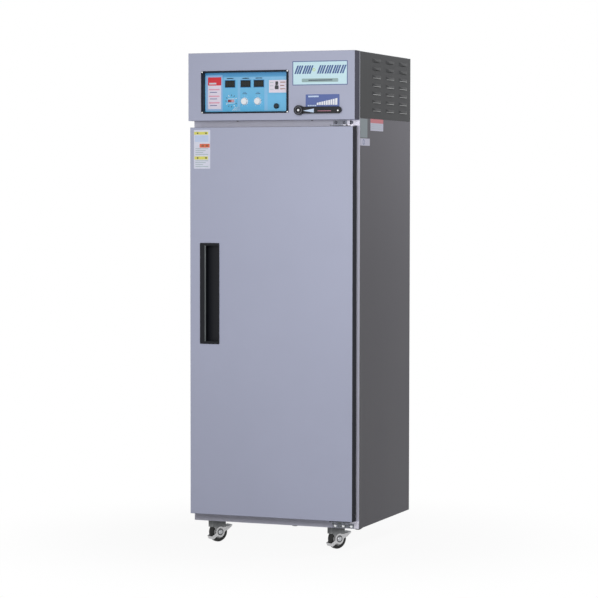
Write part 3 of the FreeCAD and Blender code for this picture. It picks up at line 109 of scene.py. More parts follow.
class Paint:
    # One material and the nodes in it.
    def __init__(self, name):
        self.material = bpy.data.materials.new(name)
        self.material.use_nodes = True
        self.tree = self.material.node_tree
        self.shader = self.tree.nodes["Principled BSDF"]

    def node(self, kind, settings=None, inputs=None, output=0):
        made = self.tree.nodes.new(kind)
        for key, value in (settings or {}).items():
            if key == "stops":
                ramp = made.color_ramp
                while len(ramp.elements) < len(value):
                    ramp.elements.new(1.0)
                for element, (place, colour) in zip(ramp.elements, value):
                    element.position = place
                    element.color = (*colour, 1.0)
            else:
                setattr(made, key, value)
        for key, value in (inputs or {}).items():
            if isinstance(value, Wire):
                self.tree.links.new(value.socket, made.inputs[key])
            else:
                made.inputs[key].default_value = value
        return Wire(self, made.outputs[output])

    def place(self):
        return self.node("ShaderNodeTexCoord", output="Object")

    def facing(self):
        # The surface's direction in the piece's own space, as x, y and z.
        normal = self.node("ShaderNodeTexCoord", output="Normal")
        return self.parts(normal)

    def parts(self, vector):
        split = self.node("ShaderNodeSeparateXYZ", None, {"Vector": vector})
        outputs = split.socket.node.outputs
        return [Wire(self, outputs[i]) for i in range(3)]

    def stretched(self, scales, vector=None):
        return self.node("ShaderNodeVectorMath", {"operation": "MULTIPLY"},
                         {0: vector or self.place(), 1: scales})

    def noise(self, scale, detail=2.0, roughness=0.5, vector=None):
        return self.node("ShaderNodeTexNoise", None, {
            "Vector": vector or self.place(), "Scale": scale, "Detail": detail,
            "Roughness": roughness})

    def cells(self, scale, output="Color", vector=None, feature="F1"):
        return self.node("ShaderNodeTexVoronoi", {"feature": feature}, {
            "Vector": vector or self.place(), "Scale": scale}, output)

    def blend(self, factor, low, high, kind="MIX"):
        def solid(colour):
            return colour if isinstance(colour, Wire) else (*colour[:3], 1.0)
        return self.node("ShaderNodeMix", {"data_type": "RGBA", "blend_type": kind},
                         {0: factor, 6: solid(low), 7: solid(high)}, 2)

    def shade(self, colour, amount):
        # Lighter or darker by a value around 1, kept as a colour.
        return self.node("ShaderNodeVectorMath", {"operation": "SCALE"},
                         {0: colour if isinstance(colour, Wire) else colour[:3], "Scale": amount})

    def bump(self, height, strength, distance):
        return self.node("ShaderNodeBump", None, {
            "Height": height, "Strength": strength, "Distance": distance})

    def finish(self, **values):
        for key, value in values.items():
            socket = self.shader.inputs[key]
            if isinstance(value, Wire):
                self.tree.links.new(value.socket, socket)
            elif socket.type == "RGBA":
                socket.default_value = (*value[:3], 1.0)
            else:
                socket.default_value = value
        return self.material


def screen(red, green, blue):
    # A colour as a screen shows it, 0 to 255, turned into the shader's own scale.
    def one(value):
        share = value / 255
        return share / 12.92 if share <= 0.04045 else ((share + 0.055) / 1.055) ** 2.4
    return (one(red), one(green), one(blue))


hingeSheet = 0.003          # thickness of the hinge's leaf
hubs = [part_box("hub_front_" + place) for place in ("left", "right")]
wheelCentre = {
    "z": (hubs[0][0].z + hubs[0][1].z) / 2, "turn": math.radians(-121),
    "front": [((low.x + high.x) / 2, (low.y + high.y) / 2) for low, high in hubs],
}


# Finishes

frontPaintLook = {
    "colour": screen(178, 182, 204),
    # The door edge and return edge colours are painted shade for the narrow sides of the door and of
    # the header's return.
    "doorEdgeShade": screen(16, 18, 28),
    "returnEdgeShade": screen(72, 72, 85),
    # The rim colour is a painted highlight on the folded rim at the back of the header's return.
    "rim": screen(196, 198, 208), "rimWidth": 0.004,
    # The strip colour is a paler copy of the front paint for the front frame: painted light on its
    # strips that lie in shade, under the header, beside the door and along the base.
    "litStrip": screen(206, 206, 222),
    "mottle": 0.05,
    "grain": 0.014,
    "roughness": 0.36,
}


def satinFlecks(paint, look):
    # Fine paint grain and a slow change of tone over the sheet, as one factor around 1.
    slow = paint.noise(2.6, 3.0, 0.55)
    fine = paint.noise(900.0, 2.0, 0.6)
    return 1 + (slow - 0.5) * (2 * look["mottle"]) + (fine - 0.5) * (2 * look["grain"])


def frontPaint(name, edge=None, base="colour"):
    look = frontPaintLook
    paint = Paint(name)
    tone = satinFlecks(paint, look)
    colour = paint.shade(look[base], tone)
    peel = paint.noise(240.0, 2.0, 0.5)
    rough = look["roughness"] + (peel - 0.5) * 0.10
    if edge:
        # Painted shade on the narrow sides: the door's edges and the header's return take a darker tone
        # than the face.
        across, deep, high = paint.facing()
        side = (across.sized().bigger(high.sized()) if edge == "doorEdgeShade" else across.sized()) > 0.8
        colour = paint.blend(side, colour, paint.shade(look[edge], tone))
        rough = rough + side * 0.50
    if edge == "returnEdgeShade":
        # Painted highlight: a pale band along the folded rim at the back of the return.
        x, y, z = paint.parts(paint.place())
        colour = paint.blend(side * (y > headerHigh.y - look["rimWidth"]), colour, look["rim"])
    normal = paint.bump(peel, 0.06, 0.0004)
    return paint.finish(**{"Base Color": colour, "Roughness": rough, "Normal": normal,
                           "Specular IOR Level": 0.25})


sidePaintLook = {
    "lower": screen(86, 85, 91),
    "upper": screen(44, 45, 47),
    # Painted light below: the sheet is made lighter towards its top and its back.
    "paintedLight": {"high": 0.20, "rear": 0.16},       # towards the top and the back of the sheet
    "streaks": 0.16,
    "mottle": 0.12,
    "roughness": 0.42,
}


# Painted highlight along the lips of the louvre hoods on the side's upper panels.
louvreLipHighlight = {
    "first": 0.028, "pitch": 0.030, "brightRows": 5,   # from the machine space's floor, and up
    "depth": 0.0017, "starts": 0.0007, "full": 0.0018, "colour": screen(184, 186, 186),
}


def sidePaint(name, colour):
    # Dark coated sheet with a faint upright rolling grain.
    look = sidePaintLook
    paint = Paint(name)
    streak = paint.noise(1.0, 4.0, 0.7, paint.stretched((70.0, 70.0, 1.1)))
    slow = paint.noise(3.2, 3.0, 0.55)
    fine = paint.noise(700.0, 2.0, 0.6)
    tone = (1 + (streak - 0.5) * (2 * look["streaks"]) + (slow - 0.5) * (2 * look["mottle"])
            + (fine - 0.5) * 0.05)
    x, y, z = paint.parts(paint.place())
    # Painted light: lighter towards the top and the back of the sheet.
    tone = tone + z.fade(0.9, 1.6) * look["paintedLight"]["high"] + y.fade(-0.2, 0.35) * look["paintedLight"]["rear"]
    rough = look["roughness"] + (streak - 0.5) * 0.18 + (slow - 0.5) * 0.10
    normal = paint.bump(streak + fine * 0.4, 0.05, 0.0003)
    shown = paint.shade(colour, tone)
    if colour == look["upper"]:
        # Painted highlight along the hoods' lips on the lower rows, and painted shade on the faces that
        # turn down under the hoods.
        lip = louvreLipHighlight
        across, deep, high = paint.parts(paint.place())
        proud = (across.sized() - rightHigh.x).fade(lip["starts"], lip["full"])
        above = high - (rightHigh.z + lip["first"])
        fromLip = paint.node("ShaderNodeMath", {"operation": "MODULO"}, {0: above, 1: lip["pitch"]})
        edge = proud * (1 - fromLip.fade(lip["depth"] * 0.7, lip["depth"]))
        edge = edge * (1 - above.fade(lip["pitch"] * (lip["brightRows"] - 0.5),
                                      lip["pitch"] * (lip["brightRows"] - 0.3)))
        shown = paint.blend(edge, shown, lip["colour"])
        rough = rough - edge * 0.12
        # Painted shade: faces turned downwards are darkened nearly to black.
        turnedX, turnedY, turnedZ = paint.facing()
        shown = paint.blend((0 - turnedZ).fade(0.3, 0.8) * 0.75, shown, (0.004, 0.004, 0.004))
    return paint.finish(**{"Base Color": shown, "Roughness": rough, "Normal": normal,
                           "Specular IOR Level": 0.10})


def galvanised(name):
    # Zinc coated sheet: pale flakes of slightly different grey.
    paint = Paint(name)
    flakes = paint.cells(65.0)
    small = paint.cells(190.0)
    shadeOf = paint.parts(flakes)[0] * 0.6 + paint.parts(small)[0] * 0.4
    slow = paint.noise(5.0, 3.0)
    tone = 0.86 + shadeOf * 0.22 + (slow - 0.5) * 0.10
    rough = 0.34 + shadeOf * 0.16
    return paint.finish(**{"Base Color": paint.shade((0.56, 0.58, 0.60), tone), "Metallic": 0.85,
                           "Roughness": rough, "Normal": paint.bump(shadeOf, 0.04, 0.0003)})


def brushed(name, colour, along, roughness=0.30):
    # Brushed stainless sheet; along is the way of the brushing, "x" or "z".
    paint = Paint(name)
    scales = (3.0, 420.0, 420.0) if along == "x" else (420.0, 420.0, 3.0)
    hair = paint.noise(1.0, 5.0, 0.65, paint.stretched(scales))
    slow = paint.noise(4.0, 3.0)
    tone = 0.94 + (hair - 0.5) * 0.22 + (slow - 0.5) * 0.10
    rough = roughness + (hair - 0.5) * 0.22
    return paint.finish(**{"Base Color": paint.shade(colour, tone), "Metallic": 1.0,
                           "Roughness": rough, "Normal": paint.bump(hair, 0.05, 0.0002)})


def zincPlate(name, colour=(0.55, 0.56, 0.58), stain=0.22):
    # Bright zinc plating with dull patches and a trace of wear.
    paint = Paint(name)
    patch = paint.noise(60.0, 4.0, 0.6)
    fine = paint.noise(600.0, 3.0, 0.6)
    tone = 1.04 - patch * stain + (fine - 0.5) * 0.08
    rough = 0.26 + patch * 0.22
    return paint.finish(**{"Base Color": paint.shade(colour, tone), "Metallic": 0.9,
                           "Roughness": rough, "Normal": paint.bump(fine, 0.10, 0.0002)})


paintedHead = {"low": 1.500, "high": 1.566, "colour": screen(104, 106, 118)}


def fastenerZinc(name):
    # Bright screws and bolts, apart from the top hinge's, which were painted over.
    look = paintedHead
    paint = Paint(name)
    across, deep, high = paint.parts(paint.place())
    patch = paint.noise(300.0, 3.0, 0.6)
    painted = (high > look["low"]) * (high < look["high"])
    bright = paint.shade((0.84, 0.85, 0.86), 1.04 - patch * 0.10)
    return paint.finish(**{"Base Color": paint.blend(painted, bright, look["colour"]),
                           "Metallic": 0.9 - painted * 0.8, "Roughness": 0.28 + patch * 0.16,
                           "Normal": paint.bump(patch, 0.08, 0.0002)})


forkLook = {"low": 0.030, "high": 0.080, "shadeAndDull": (0.10, 0.105, 0.11), "clean": (0.34, 0.345, 0.35)}


def forkZinc(name):
    # Pressed fork: painted shade towards the top, under the cabinet, where the plating is also rougher.
    look = forkLook
    paint = Paint(name)
    across, deep, high = paint.parts(paint.place())
    patch = paint.noise(70.0, 4.0, 0.6)
    fine = paint.noise(600.0, 3.0, 0.6)
    shadeAndDull = (high + (patch - 0.5) * 0.03).fade(look["low"], look["high"])
    colour = paint.shade(paint.blend(shadeAndDull, look["clean"], look["shadeAndDull"]), 1 + (fine - 0.5) * 0.14)
    return paint.finish(**{"Base Color": colour, "Metallic": 0.6, "Roughness": 0.34 + shadeAndDull * 0.22,
                           "Normal": paint.bump(fine, 0.10, 0.0002)})


brakeLook = {"plate": (0.66, 0.66, 0.67), "groove": (0.035, 0.036, 0.04), "boss": (0.26, 0.27, 0.28),
             "bossRadius": 0.0100, "grooveRadius": 0.0130}


def brakeZinc(name):
    # Bright brake plate: a grey boss in its middle, with a ring of painted shade round it.
    look = brakeLook
    paint = Paint(name)
    patch = paint.noise(80.0, 4.0, 0.6)
    fine = paint.noise(600.0, 3.0, 0.6)
    across, deep, high = paint.parts(paint.place())
    height = high - wheelCentre["z"]
    ring = None
    for x, y in wheelCentre["front"]:
        # Distance from the wheel's axle, along its flat side.
        cosine, sine = math.cos(wheelCentre["turn"]), math.sin(wheelCentre["turn"])
        along = (across - x) * cosine + (deep - y) * sine
        reach = (along * along + height * height).power(0.5)
        ring = reach if ring is None else paint.node("ShaderNodeMath", {"operation": "MINIMUM"},
                                                     {0: ring, 1: reach})
    boss = 1 - ring.fade(look["bossRadius"] - 0.0006, look["bossRadius"] + 0.0006)
    # Painted shade: a dark ring round the boss's edge.
    groove = (1 - ring.fade(look["grooveRadius"] - 0.0006, look["grooveRadius"] + 0.0006)) * (1 - boss)
    colour = paint.blend(groove, look["plate"], look["groove"])
    colour = paint.blend(boss, colour, look["boss"])
    colour = paint.shade(colour, 1.05 - patch * 0.14 + (fine - 0.5) * 0.08)
    return paint.finish(**{"Base Color": colour, "Metallic": 0.55, "Roughness": 0.30 + patch * 0.16,
                           "Normal": paint.bump(fine, 0.10, 0.0002)})


def plainPlastic(name, colour, roughness, grain=0.0006, speckle=0.05, coat=0.0, scale=650.0,
                 shine=0.5):
    # Moulded plastic with a spark eroded grain.
    paint = Paint(name)
    skin = paint.noise(scale, 3.0, 0.6)
    slow = paint.noise(14.0, 2.0)
    tone = 1 + (skin - 0.5) * (2 * speckle) + (slow - 0.5) * 0.06
    rough = roughness + (skin - 0.5) * 0.16
    return paint.finish(**{"Base Color": paint.shade(colour, tone), "Roughness": rough,
                           "Coat Weight": coat, "Specular IOR Level": shine,
                           "Normal": paint.bump(skin, 0.18, grain)})


pullLook = {"colour": screen(18, 20, 26), "ridgeHighlight": screen(112, 118, 120), "proud": 0.0022}


def pullPlastic(name):
    # Black moulded pull: a fine grain, and a painted highlight along the rounded grip ridge, streaky
    # along its length.
    look = pullLook
    paint = Paint(name)
    skin = paint.noise(650.0, 3.0, 0.6)
    worn = paint.noise(1.0, 3.0, 0.6, paint.stretched((200.0, 200.0, 22.0)))
    across, deep, high = paint.parts(paint.place())
    ridgeHighlight = (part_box("door_handle")[0].y + look["proud"] - deep).fade(0.0, 0.0010)
    # Painted highlight: the grip ridge made pale where it stands proud.
    shine = ridgeHighlight * (0.45 + worn * 0.55)
    colour = paint.blend(shine, paint.shade(look["colour"], 1 + (skin - 0.5) * 0.2), look["ridgeHighlight"])
    return paint.finish(**{"Base Color": colour, "Roughness": 0.40 + (skin - 0.5) * 0.16 - ridgeHighlight * 0.16,
                           "Coat Weight": ridgeHighlight * 0.3, "Specular IOR Level": 0.22,
                           "Normal": paint.bump(skin, 0.18, 0.0005)})


hingeLook = {
    "painted": screen(150, 152, 166), "bare": screen(226, 224, 236), "grime": screen(34, 34, 42),
    "mottle": screen(84, 92, 84),
    # lengths from the right end of the bracket
    "top": {"bare": 0.030, "gap": 0.036, "tab": 0.047, "line": (0.060, 0.098), "mottle": 0.35},
    "bottom": {"bare": 0.017, "gap": 0.017, "tab": 0.017, "line": (0.017, 0.101), "mottle": 0.95},
    "foldShade": 0.0050,                                      # depth of the dark line along the leaf
}


def hingeMetal(name, node, place):
    # Plated bracket: painted over for most of its length, bare and bright at its outer end, with
    # painted shade in the fold beside the leaf and in the gap next to the bare end. place is "top" or
    # "bottom".
    look = hingeLook
    reach = look[place]
    paint = Paint(name)
    low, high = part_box(node)
    across, deep, up = paint.parts(paint.place())
    patch = paint.noise(140.0, 4.0, 0.65)
    fromEnd = high.x - across
    bare = (fromEnd < reach["bare"]).bigger((fromEnd > reach["gap"]) * (fromEnd < reach["tab"]))
    gap = (fromEnd > reach["bare"]) * (fromEnd < reach["gap"])
    fromLeaf = (up - low.z if place == "top" else high.z - up) - hingeSheet
    first, last = reach["line"]
    foldShade = (1 - fromLeaf.sized().fade(look["foldShade"] * 0.5, look["foldShade"]))
    foldShade = foldShade * (fromEnd > first) * (fromEnd < last) * (fromLeaf > 0.0001)
    colour = paint.blend(patch.fade(0.35, 0.70) * reach["mottle"], look["painted"], look["mottle"])
    colour = paint.blend(bare, colour, paint.shade(look["bare"], 0.9 + patch * 0.2))
    turnedX, turnedY, turnedZ = paint.facing()
    front = (0 - turnedY).fade(0.5, 0.9)
    # Painted shade: a dark line in the fold beside the leaf and in the gap by the bare end, on faces
    # turned to the front.
    colour = paint.blend(foldShade.bigger(gap) * front, colour, look["grime"])
    return paint.finish(**{"Base Color": colour, "Metallic": 0.35, "Roughness": 0.42 + patch * 0.14,
                           "Normal": paint.bump(patch, 0.08, 0.0003)})


def rubber(name, colour, dust=0.35):
    # Matt rubber, with pale dust in patches.
    paint = Paint(name)
    patch = paint.noise(55.0, 4.0, 0.65)
    fine = paint.noise(800.0, 2.0)
    worn = patch.fade(0.45, 0.75) * dust
    colourNow = paint.blend(worn, paint.shade(colour, 1 + (fine - 0.5) * 0.3), (0.16, 0.15, 0.14))
    return paint.finish(**{"Base Color": colourNow, "Roughness": 0.62 + worn * 0.25,
                           "Normal": paint.bump(fine, 0.25, 0.0003), "Specular IOR Level": 0.35})


def mineralWool(name):
    paint = Paint(name)
    fibre = paint.noise(1.0, 6.0, 0.7, paint.stretched((90.0, 90.0, 500.0)))
    lumps = paint.noise(35.0, 3.0)
    colour = paint.blend(fibre, (0.50, 0.42, 0.20), (0.86, 0.80, 0.58))
    return paint.finish(**{"Base Color": colour, "Roughness": 0.95,
                           "Normal": paint.bump(fibre + lumps, 0.6, 0.002)})


def circuitGreen(name):
    paint = Paint(name)
    tracks = paint.cells(260.0, "Distance", feature="F2")
    mask = tracks.fade(0.35, 0.6)
    colour = paint.blend(mask, (0.010, 0.10, 0.045), (0.022, 0.19, 0.085))
    return paint.finish(**{"Base Color": colour, "Roughness": 0.35 + mask * 0.1,
                           "Coat Weight": 0.3, "Normal": paint.bump(mask, 0.1, 0.0002)})


def tintedWindow(name):
    paint = Paint(name)
    haze = paint.noise(120.0, 3.0)
    colour = paint.blend(haze, (0.009, 0.012, 0.012), (0.018, 0.023, 0.021))
    return paint.finish(**{"Base Color": colour, "Roughness": 0.18 + haze * 0.08,
                           "Specular IOR Level": 0.2})


def litRocker(name):
    # Red rocker, lit from inside: dark at its left, paling to the right.
    paint = Paint(name)
    across, deep, high = paint.parts(paint.place())
    low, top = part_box("power_switch")
    share = (across - low.x) / (top.x - low.x)
    cloud = paint.noise(400.0, 3.0)
    glow = share.fade(0.30, 0.95) * (0.8 + cloud * 0.2)
    colour = paint.blend(glow, screen(134, 12, 36), screen(250, 200, 214))
    return paint.finish(**{"Base Color": colour, "Roughness": 0.22 + cloud * 0.08,
                           "Coat Weight": 0.5})


panelFilmLook = {
    "top": screen(70, 150, 205),
    "middle": screen(112, 190, 232),
    "bottom": screen(90, 184, 232),
    "topBand": 0.020,           # depth of the darker band at the top edge
}


def panelFilm(name):
    # Printed blue film: a darker band along the top, paler below it.
    look = panelFilmLook
    paint = Paint(name)
    across, deep, high = paint.parts(paint.place())
    down = plateHigh.z - high
    height = plateHigh.z - plateLow.z
    cloud = paint.noise(30.0, 3.0)
    fine = paint.noise(1400.0, 2.0)
    band = down.fade(look["topBand"] * 0.5, look["topBand"] * 1.3)
    colour = paint.blend(band, look["top"], look["middle"])
    colour = paint.blend(down.fade(height * 0.35, height * 0.95), colour, look["bottom"])
    colour = paint.shade(colour, 1 + (cloud - 0.5) * 0.10 + (fine - 0.5) * 0.05)
    return paint.finish(**{"Base Color": colour, "Roughness": 0.30 + fine * 0.10,
                           "Coat Weight": 0.2, "Normal": paint.bump(fine, 0.05, 0.0002)})


def heaterMetal(name):
    # Sheathed heater rod, straw coloured where it has been hot.
    paint = Paint(name)
    heat = paint.noise(16.0, 3.0)
    colour = paint.blend(heat.fade(0.35, 0.7), (0.42, 0.36, 0.28), (0.55, 0.52, 0.48))
    return paint.finish(**{"Base Color": colour, "Metallic": 0.9, "Roughness": 0.35 + heat * 0.2,
                           "Normal": paint.bump(heat, 0.05, 0.0004)})


inks = {}


def ink(name, colour, roughness=0.42):
    # A printed colour: fine screen grain and a slight change of tone.
    if name not in inks:
        paint = Paint("ink_" + name)
        fine = paint.noise(1800.0, 2.0)
        slow = paint.noise(45.0, 2.0)
        tone = 1 + (fine - 0.5) * 0.10 + (slow - 0.5) * 0.06
        inks[name] = paint.finish(**{"Base Color": paint.shade(colour, tone),
                                     "Roughness": roughness + (fine - 0.5) * 0.12})
    return inks[name]


inkColours = {
    "deepBlue": screen(62, 96, 150),
    "navy": screen(58, 82, 140),
    "darkSlate": screen(44, 56, 74),
    "softBlack": screen(34, 38, 46),
    "white": screen(240, 242, 246),
    "paleBlue": screen(198, 216, 242),
    "paleLilac": screen(206, 204, 232),
    "paleCyan": screen(196, 232, 246),
    "plateField": screen(205, 236, 245),
    "plateEdge": screen(84, 104, 150),
    "labelBlue": screen(80, 100, 162),
    "skyField": screen(150, 190, 235),
    "bandBlue": screen(134, 194, 236),
    "columnWhite": screen(232, 224, 240),
    "brown": screen(150, 96, 70),
    "olive": screen(92, 96, 60),
    "cardBlue": screen(198, 212, 240),
    "tealGrey": screen(112, 124, 130),
    "mist": screen(214, 214, 226),
    "red": screen(216, 44, 58),
    "rose": screen(226, 150, 176),
    "yellow": screen(225, 220, 110),
    "orange": screen(225, 110, 80),
    "cardWhite": screen(222, 224, 240),
    "sideCard": screen(180, 180, 200),
    "sideRed": screen(185, 95, 105),
    "lime": screen(196, 214, 120),
    "greyGreen": screen(150, 176, 176),
    "skyLine": screen(112, 192, 236),
    "unlit": screen(27, 30, 28),
    "cyanDeep": screen(64, 140, 196),
    "leverRing": screen(92, 94, 104),
}


# Mesh helpers

class Face:
    # A flat place on the cabinet: u and v run along it, out stands away from it.
    def __init__(self, origin, u, v, out):
        self.origin, self.u, self.v, self.out = map(Vector, (origin, u, v, out))

    def at(self, u, v, out):
        return self.origin + self.u * u + self.v * v + self.out * out


headerFace = Face((0, headerLow.y, headerLow.z), (1, 0, 0), (0, 0, 1), (0, -1, 0))
doorFace = Face((doorLow.x, doorLow.y, doorHigh.z), (1, 0, 0), (0, 0, 1), (0, -1, 0))
plateFace = Face((0, windowsHigh.y, headerLow.z), (1, 0, 0), (0, 0, 1), (0, -1, 0))
windowFace = Face((0, windowsLow.y, headerLow.z), (1, 0, 0), (0, 0, 1), (0, -1, 0))
leverFace = Face((0, leverLow.y, headerLow.z), (1, 0, 0), (0, 0, 1), (0, -1, 0))
sideFace = Face((rightHigh.x, frameLow.y, rightHigh.z), (0, 1, 0), (0, 0, 1), (1, 0, 0))


def box(u0, u1, v0, v1, radius=0.0, steps=4):
    # A rectangle's outline, with round corners where a radius is given.
    if radius <= 0:
        return [(u0, v0), (u1, v0), (u1, v1), (u0, v1)]
    outline = []
    corners = ((u1 - radius, v0 + radius, -90), (u1 - radius, v1 - radius, 0),
               (u0 + radius, v1 - radius, 90), (u0 + radius, v0 + radius, 180))
    for u, v, start in corners:
        for i in range(steps + 1):
            angle = math.radians(start + 90 * i / steps)
            outline.append((u + radius * math.cos(angle), v + radius * math.sin(angle)))
    return outline


def disc(u, v, radius, steps=32):
    return [(u + radius * math.cos(2 * math.pi * i / steps),
             v + radius * math.sin(2 * math.pi * i / steps)) for i in range(steps)]


def stroke(u0, v0, u1, v1, width):
    # A straight bar between two points.
    length = math.hypot(u1 - u0, v1 - v0)
    nu, nv = -(v1 - v0) / length * width / 2, (u1 - u0) / length * width / 2
    return [(u0 - nu, v0 - nv), (u1 - nu, v1 - nv), (u1 + nu, v1 + nv), (u0 + nu, v0 + nv)]


def slanted(u, v0, v1, width, lean):
    # An upright bar that leans to the right by lean over its height.
    return [(u, v0), (u + width, v0), (u + width + lean, v1), (u + lean, v1)]


def ringShape(u, v, outer, inner, start=0.0, sweep=360.0, steps=28):
    # An open or closed ring drawn as short flat pieces.
    pieces = []
    for i in range(steps):
        a0 = math.radians(start + sweep * i / steps)
        a1 = math.radians(start + sweep * (i + 1) / steps)
        pieces.append([(u + r * math.cos(a), v + r * math.sin(a))
                       for r, a in ((inner, a0), (outer, a0), (outer, a1), (inner, a1))])
    return pieces


def printed(name, face, body, shapes):
    # One piece from flat slabs: (outline, low, high, ink name), low and high above the face.
    bm = bmesh.new()
    used = []
    for outline, low, high, colour in shapes:
        if colour not in used:
            used.append(colour)
        base = [bm.verts.new(face.at(u, v, low)) for u, v in outline]
        top = [bm.verts.new(face.at(u, v, high)) for u, v in outline]
        made = [bm.faces.new(top), bm.faces.new(base[::-1])]
        for i in range(len(outline)):
            j = (i + 1) % len(outline)
            made.append(bm.faces.new((base[i], base[j], top[j], top[i])))
        for each in made:
            each.material_index = used.index(colour)
    bmesh.ops.recalc_face_normals(bm, faces=bm.faces)
    return meshPiece(name, bm, body, [ink(c, inkColours[c]) for c in used])


def meshPiece(name, bm, body, materials, smooth=False):
    mesh = bpy.data.meshes.new(name)
    bm.to_mesh(mesh)
    bm.free()
    for material in materials:
        mesh.materials.append(material)
    if smooth:
        mesh.shade_smooth()
    piece = bpy.data.objects.new(name, mesh)
    bpy.context.scene.collection.objects.link(piece)
    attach(piece, body)
    return piece


# Finishes on the imported nodes

# The front frame takes the paler strip colour, painted light on its shaded strips.
frontSteel = frontPaint("front_steel", None, "litStrip")
headerSteel = frontPaint("header_steel", "returnEdgeShade")
doorSteel = frontPaint("door_steel", "doorEdgeShade")
sideSteel = sidePaint("side_steel", sidePaintLook["lower"])
upperSteel = sidePaint("upper_steel", sidePaintLook["upper"])
zincSheet = galvanised("galvanised_sheet")
stainlessX = brushed("stainless_brushed", (0.66, 0.66, 0.65), "x")
stainlessZ = brushed("stainless_upright", (0.62, 0.62, 0.61), "z")
zincParts = zincPlate("zinc_plated")
brightZinc = zincPlate("bright_zinc", (0.84, 0.85, 0.86), 0.10)
forkMetal = forkZinc("fork_metal")
brakeMetal = brakeZinc("brake_metal")
shelfChrome = zincPlate("shelf_chrome", (0.72, 0.72, 0.73), 0.08)
blackPlastic = plainPlastic("black_plastic", screen(20, 21, 26), 0.38, shine=0.25)
bezelPlastic = plainPlastic("bezel_plastic", screen(10, 20, 34), 0.40, shine=0.18)
buttonPlastic = plainPlastic("button_plastic", screen(10, 34, 44), 0.24, coat=0.3, shine=0.3)
handlePlastic = pullPlastic("handle_plastic")
whitePlastic = plainPlastic("white_plastic", screen(240, 243, 248), 0.28, 0.0002, 0.01, 0.3)
hubPlastic = plainPlastic("hub_plastic", screen(196, 196, 196), 0.42, 0.0003, 0.02)
motorPaint = plainPlastic("motor_paint", screen(52, 58, 66), 0.35, 0.0008, 0.04, 0.2, 300.0)

finishes = {
    "header_fascia": headerSteel, "front_frame": frontSteel, "door_skin": doorSteel,
    "left_side_panel": sideSteel, "right_side_panel": sideSteel,
    "left_upper_panel": upperSteel, "right_upper_panel": upperSteel,
    "rear_panel": zincSheet, "top_cover": zincSheet, "base_frame": zincSheet,
    "machine_deck": zincSheet, "exhaust_duct": zincSheet, "fan_wheel": zincSheet,
    "inner_liner": stainlessX, "air_duct_panel": stainlessX, "door_inner_panel": stainlessZ,
    "shelf_pilasters": stainlessZ, "shelf_clips": stainlessZ, "temperature_probe": stainlessZ,
    "shelf_1": shelfChrome, "shelf_2": shelfChrome, "shelf_3": shelfChrome,
    "insulation": mineralWool("mineral_wool"), "door_insulation": mineralWool("door_wool"),
    "control_bezel": bezelPlastic, "control_plate": panelFilm("panel_film"),
    "display_windows": tintedWindow("display_window"), "fasteners": fastenerZinc("fastener_zinc"),
    "fan_motor": motorPaint, "heater_element": heaterMetal("heater_metal"),
    "circuit_board": circuitGreen("circuit_green"),
    "hinge_bracket_top": hingeMetal("hinge_top", "hinge_bracket_top", "top"),
    "hinge_bracket_bottom": hingeMetal("hinge_bottom", "hinge_bracket_bottom", "bottom"),
    "caster_plates": zincParts, "damper_lever": blackPlastic, "damper_shaft": zincParts,
    "temperature_knob": whitePlastic, "timer_knob": whitePlastic,
    "power_switch": litRocker("lit_rocker"), "reset_button": buttonPlastic,
    "door_handle": handlePlastic,
}
tyreRubber = rubber("tyre_rubber", (0.016, 0.016, 0.016), 0.20)
gasketRubber = rubber("gasket_rubber", (0.05, 0.052, 0.056), 0.10)
for place in ("front_left", "front_right", "rear_left", "rear_right"):
    finishes["tyre_" + place] = tyreRubber
    finishes["hub_" + place] = hubPlastic
    finishes["fork_" + place] = forkMetal
    finishes["axle_" + place] = zincParts
    if place.startswith("front"):
        finishes["brake_" + place] = brakeMetal
finishes["door_gasket"] = gasketRubber

for node, finish in finishes.items():
    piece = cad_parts[node]
    piece.data.materials.clear()
    piece.data.materials.append(finish)
print("finishes:", len(finishes), "nodes painted")


# Plates and cards stuck on the header

thin = {"card": 0.0004, "print": 0.00008}     # thickness of a card and of a printed layer


def layer(level):
    # Low and high side of a printed layer, counted from the card's face.
    low = thin["card"] + level * thin["print"]
    return low - 0.00002, low + thin["print"]


namePlate = {
    "left": 0.086, "right": 0.298, "bottom": 0.124, "top": 0.211,
    "border": 0.0030, "barWidth": 0.0064, "barLean": 0.012,
    "barBottom": 0.041, "barTop": 0.071,
    "groups": ((0.007, 3), (0.037, 4), (0.094, 3), (0.123, 3), (0.152, 3), (0.181, 2)),
    "barPitch": 0.0088, "ring": (0.083, 0.055, 0.0058),
    "stripe": (0.036, 0.176, 0.011, 0.024), "rule": (0.062, 0.154, 0.0160, 0.0195),
}


def makeNamePlate(look):
    # A bordered plate with slanted strokes in groups, a small ring and a ruled stripe.
    u0, u1, v0, v1 = look["left"], look["right"], look["bottom"], look["top"]
    edge = look["border"]
    shapes = [(box(u0, u1, v0, v1, 0.002), 0, thin["card"], "plateEdge"),
              (box(u0 + edge, u1 - edge, v0 + edge, v1 - edge), *layer(0), "plateField")]
    lean, wide = look["barLean"], look["barWidth"]
    low, high = v0 + look["barBottom"], v0 + look["barTop"]
    for start, count in look["groups"]:
        for i in range(count):
            u = u0 + start + i * look["barPitch"]
            colour = "navy" if i % 2 == 0 else "deepBlue"
            shapes.append((slanted(u, low, high, wide, lean), *layer(1), colour))
    u, v, radius = look["ring"]
    for piece in ringShape(u0 + u, v0 + v, radius, radius * 0.55):
        shapes.append((piece, *layer(1), "lime"))
    a, b, c, d = look["stripe"]
    shapes.append((box(u0 + a, u0 + b, v0 + c, v0 + d, 0.003), *layer(1), "greyGreen"))
    a, b, c, d = look["rule"]
    shapes.append((box(u0 + a, u0 + b, v0 + c, v0 + d), *layer(2), "darkSlate"))
    return printed("name_plate", headerFace, "cabinet", shapes)


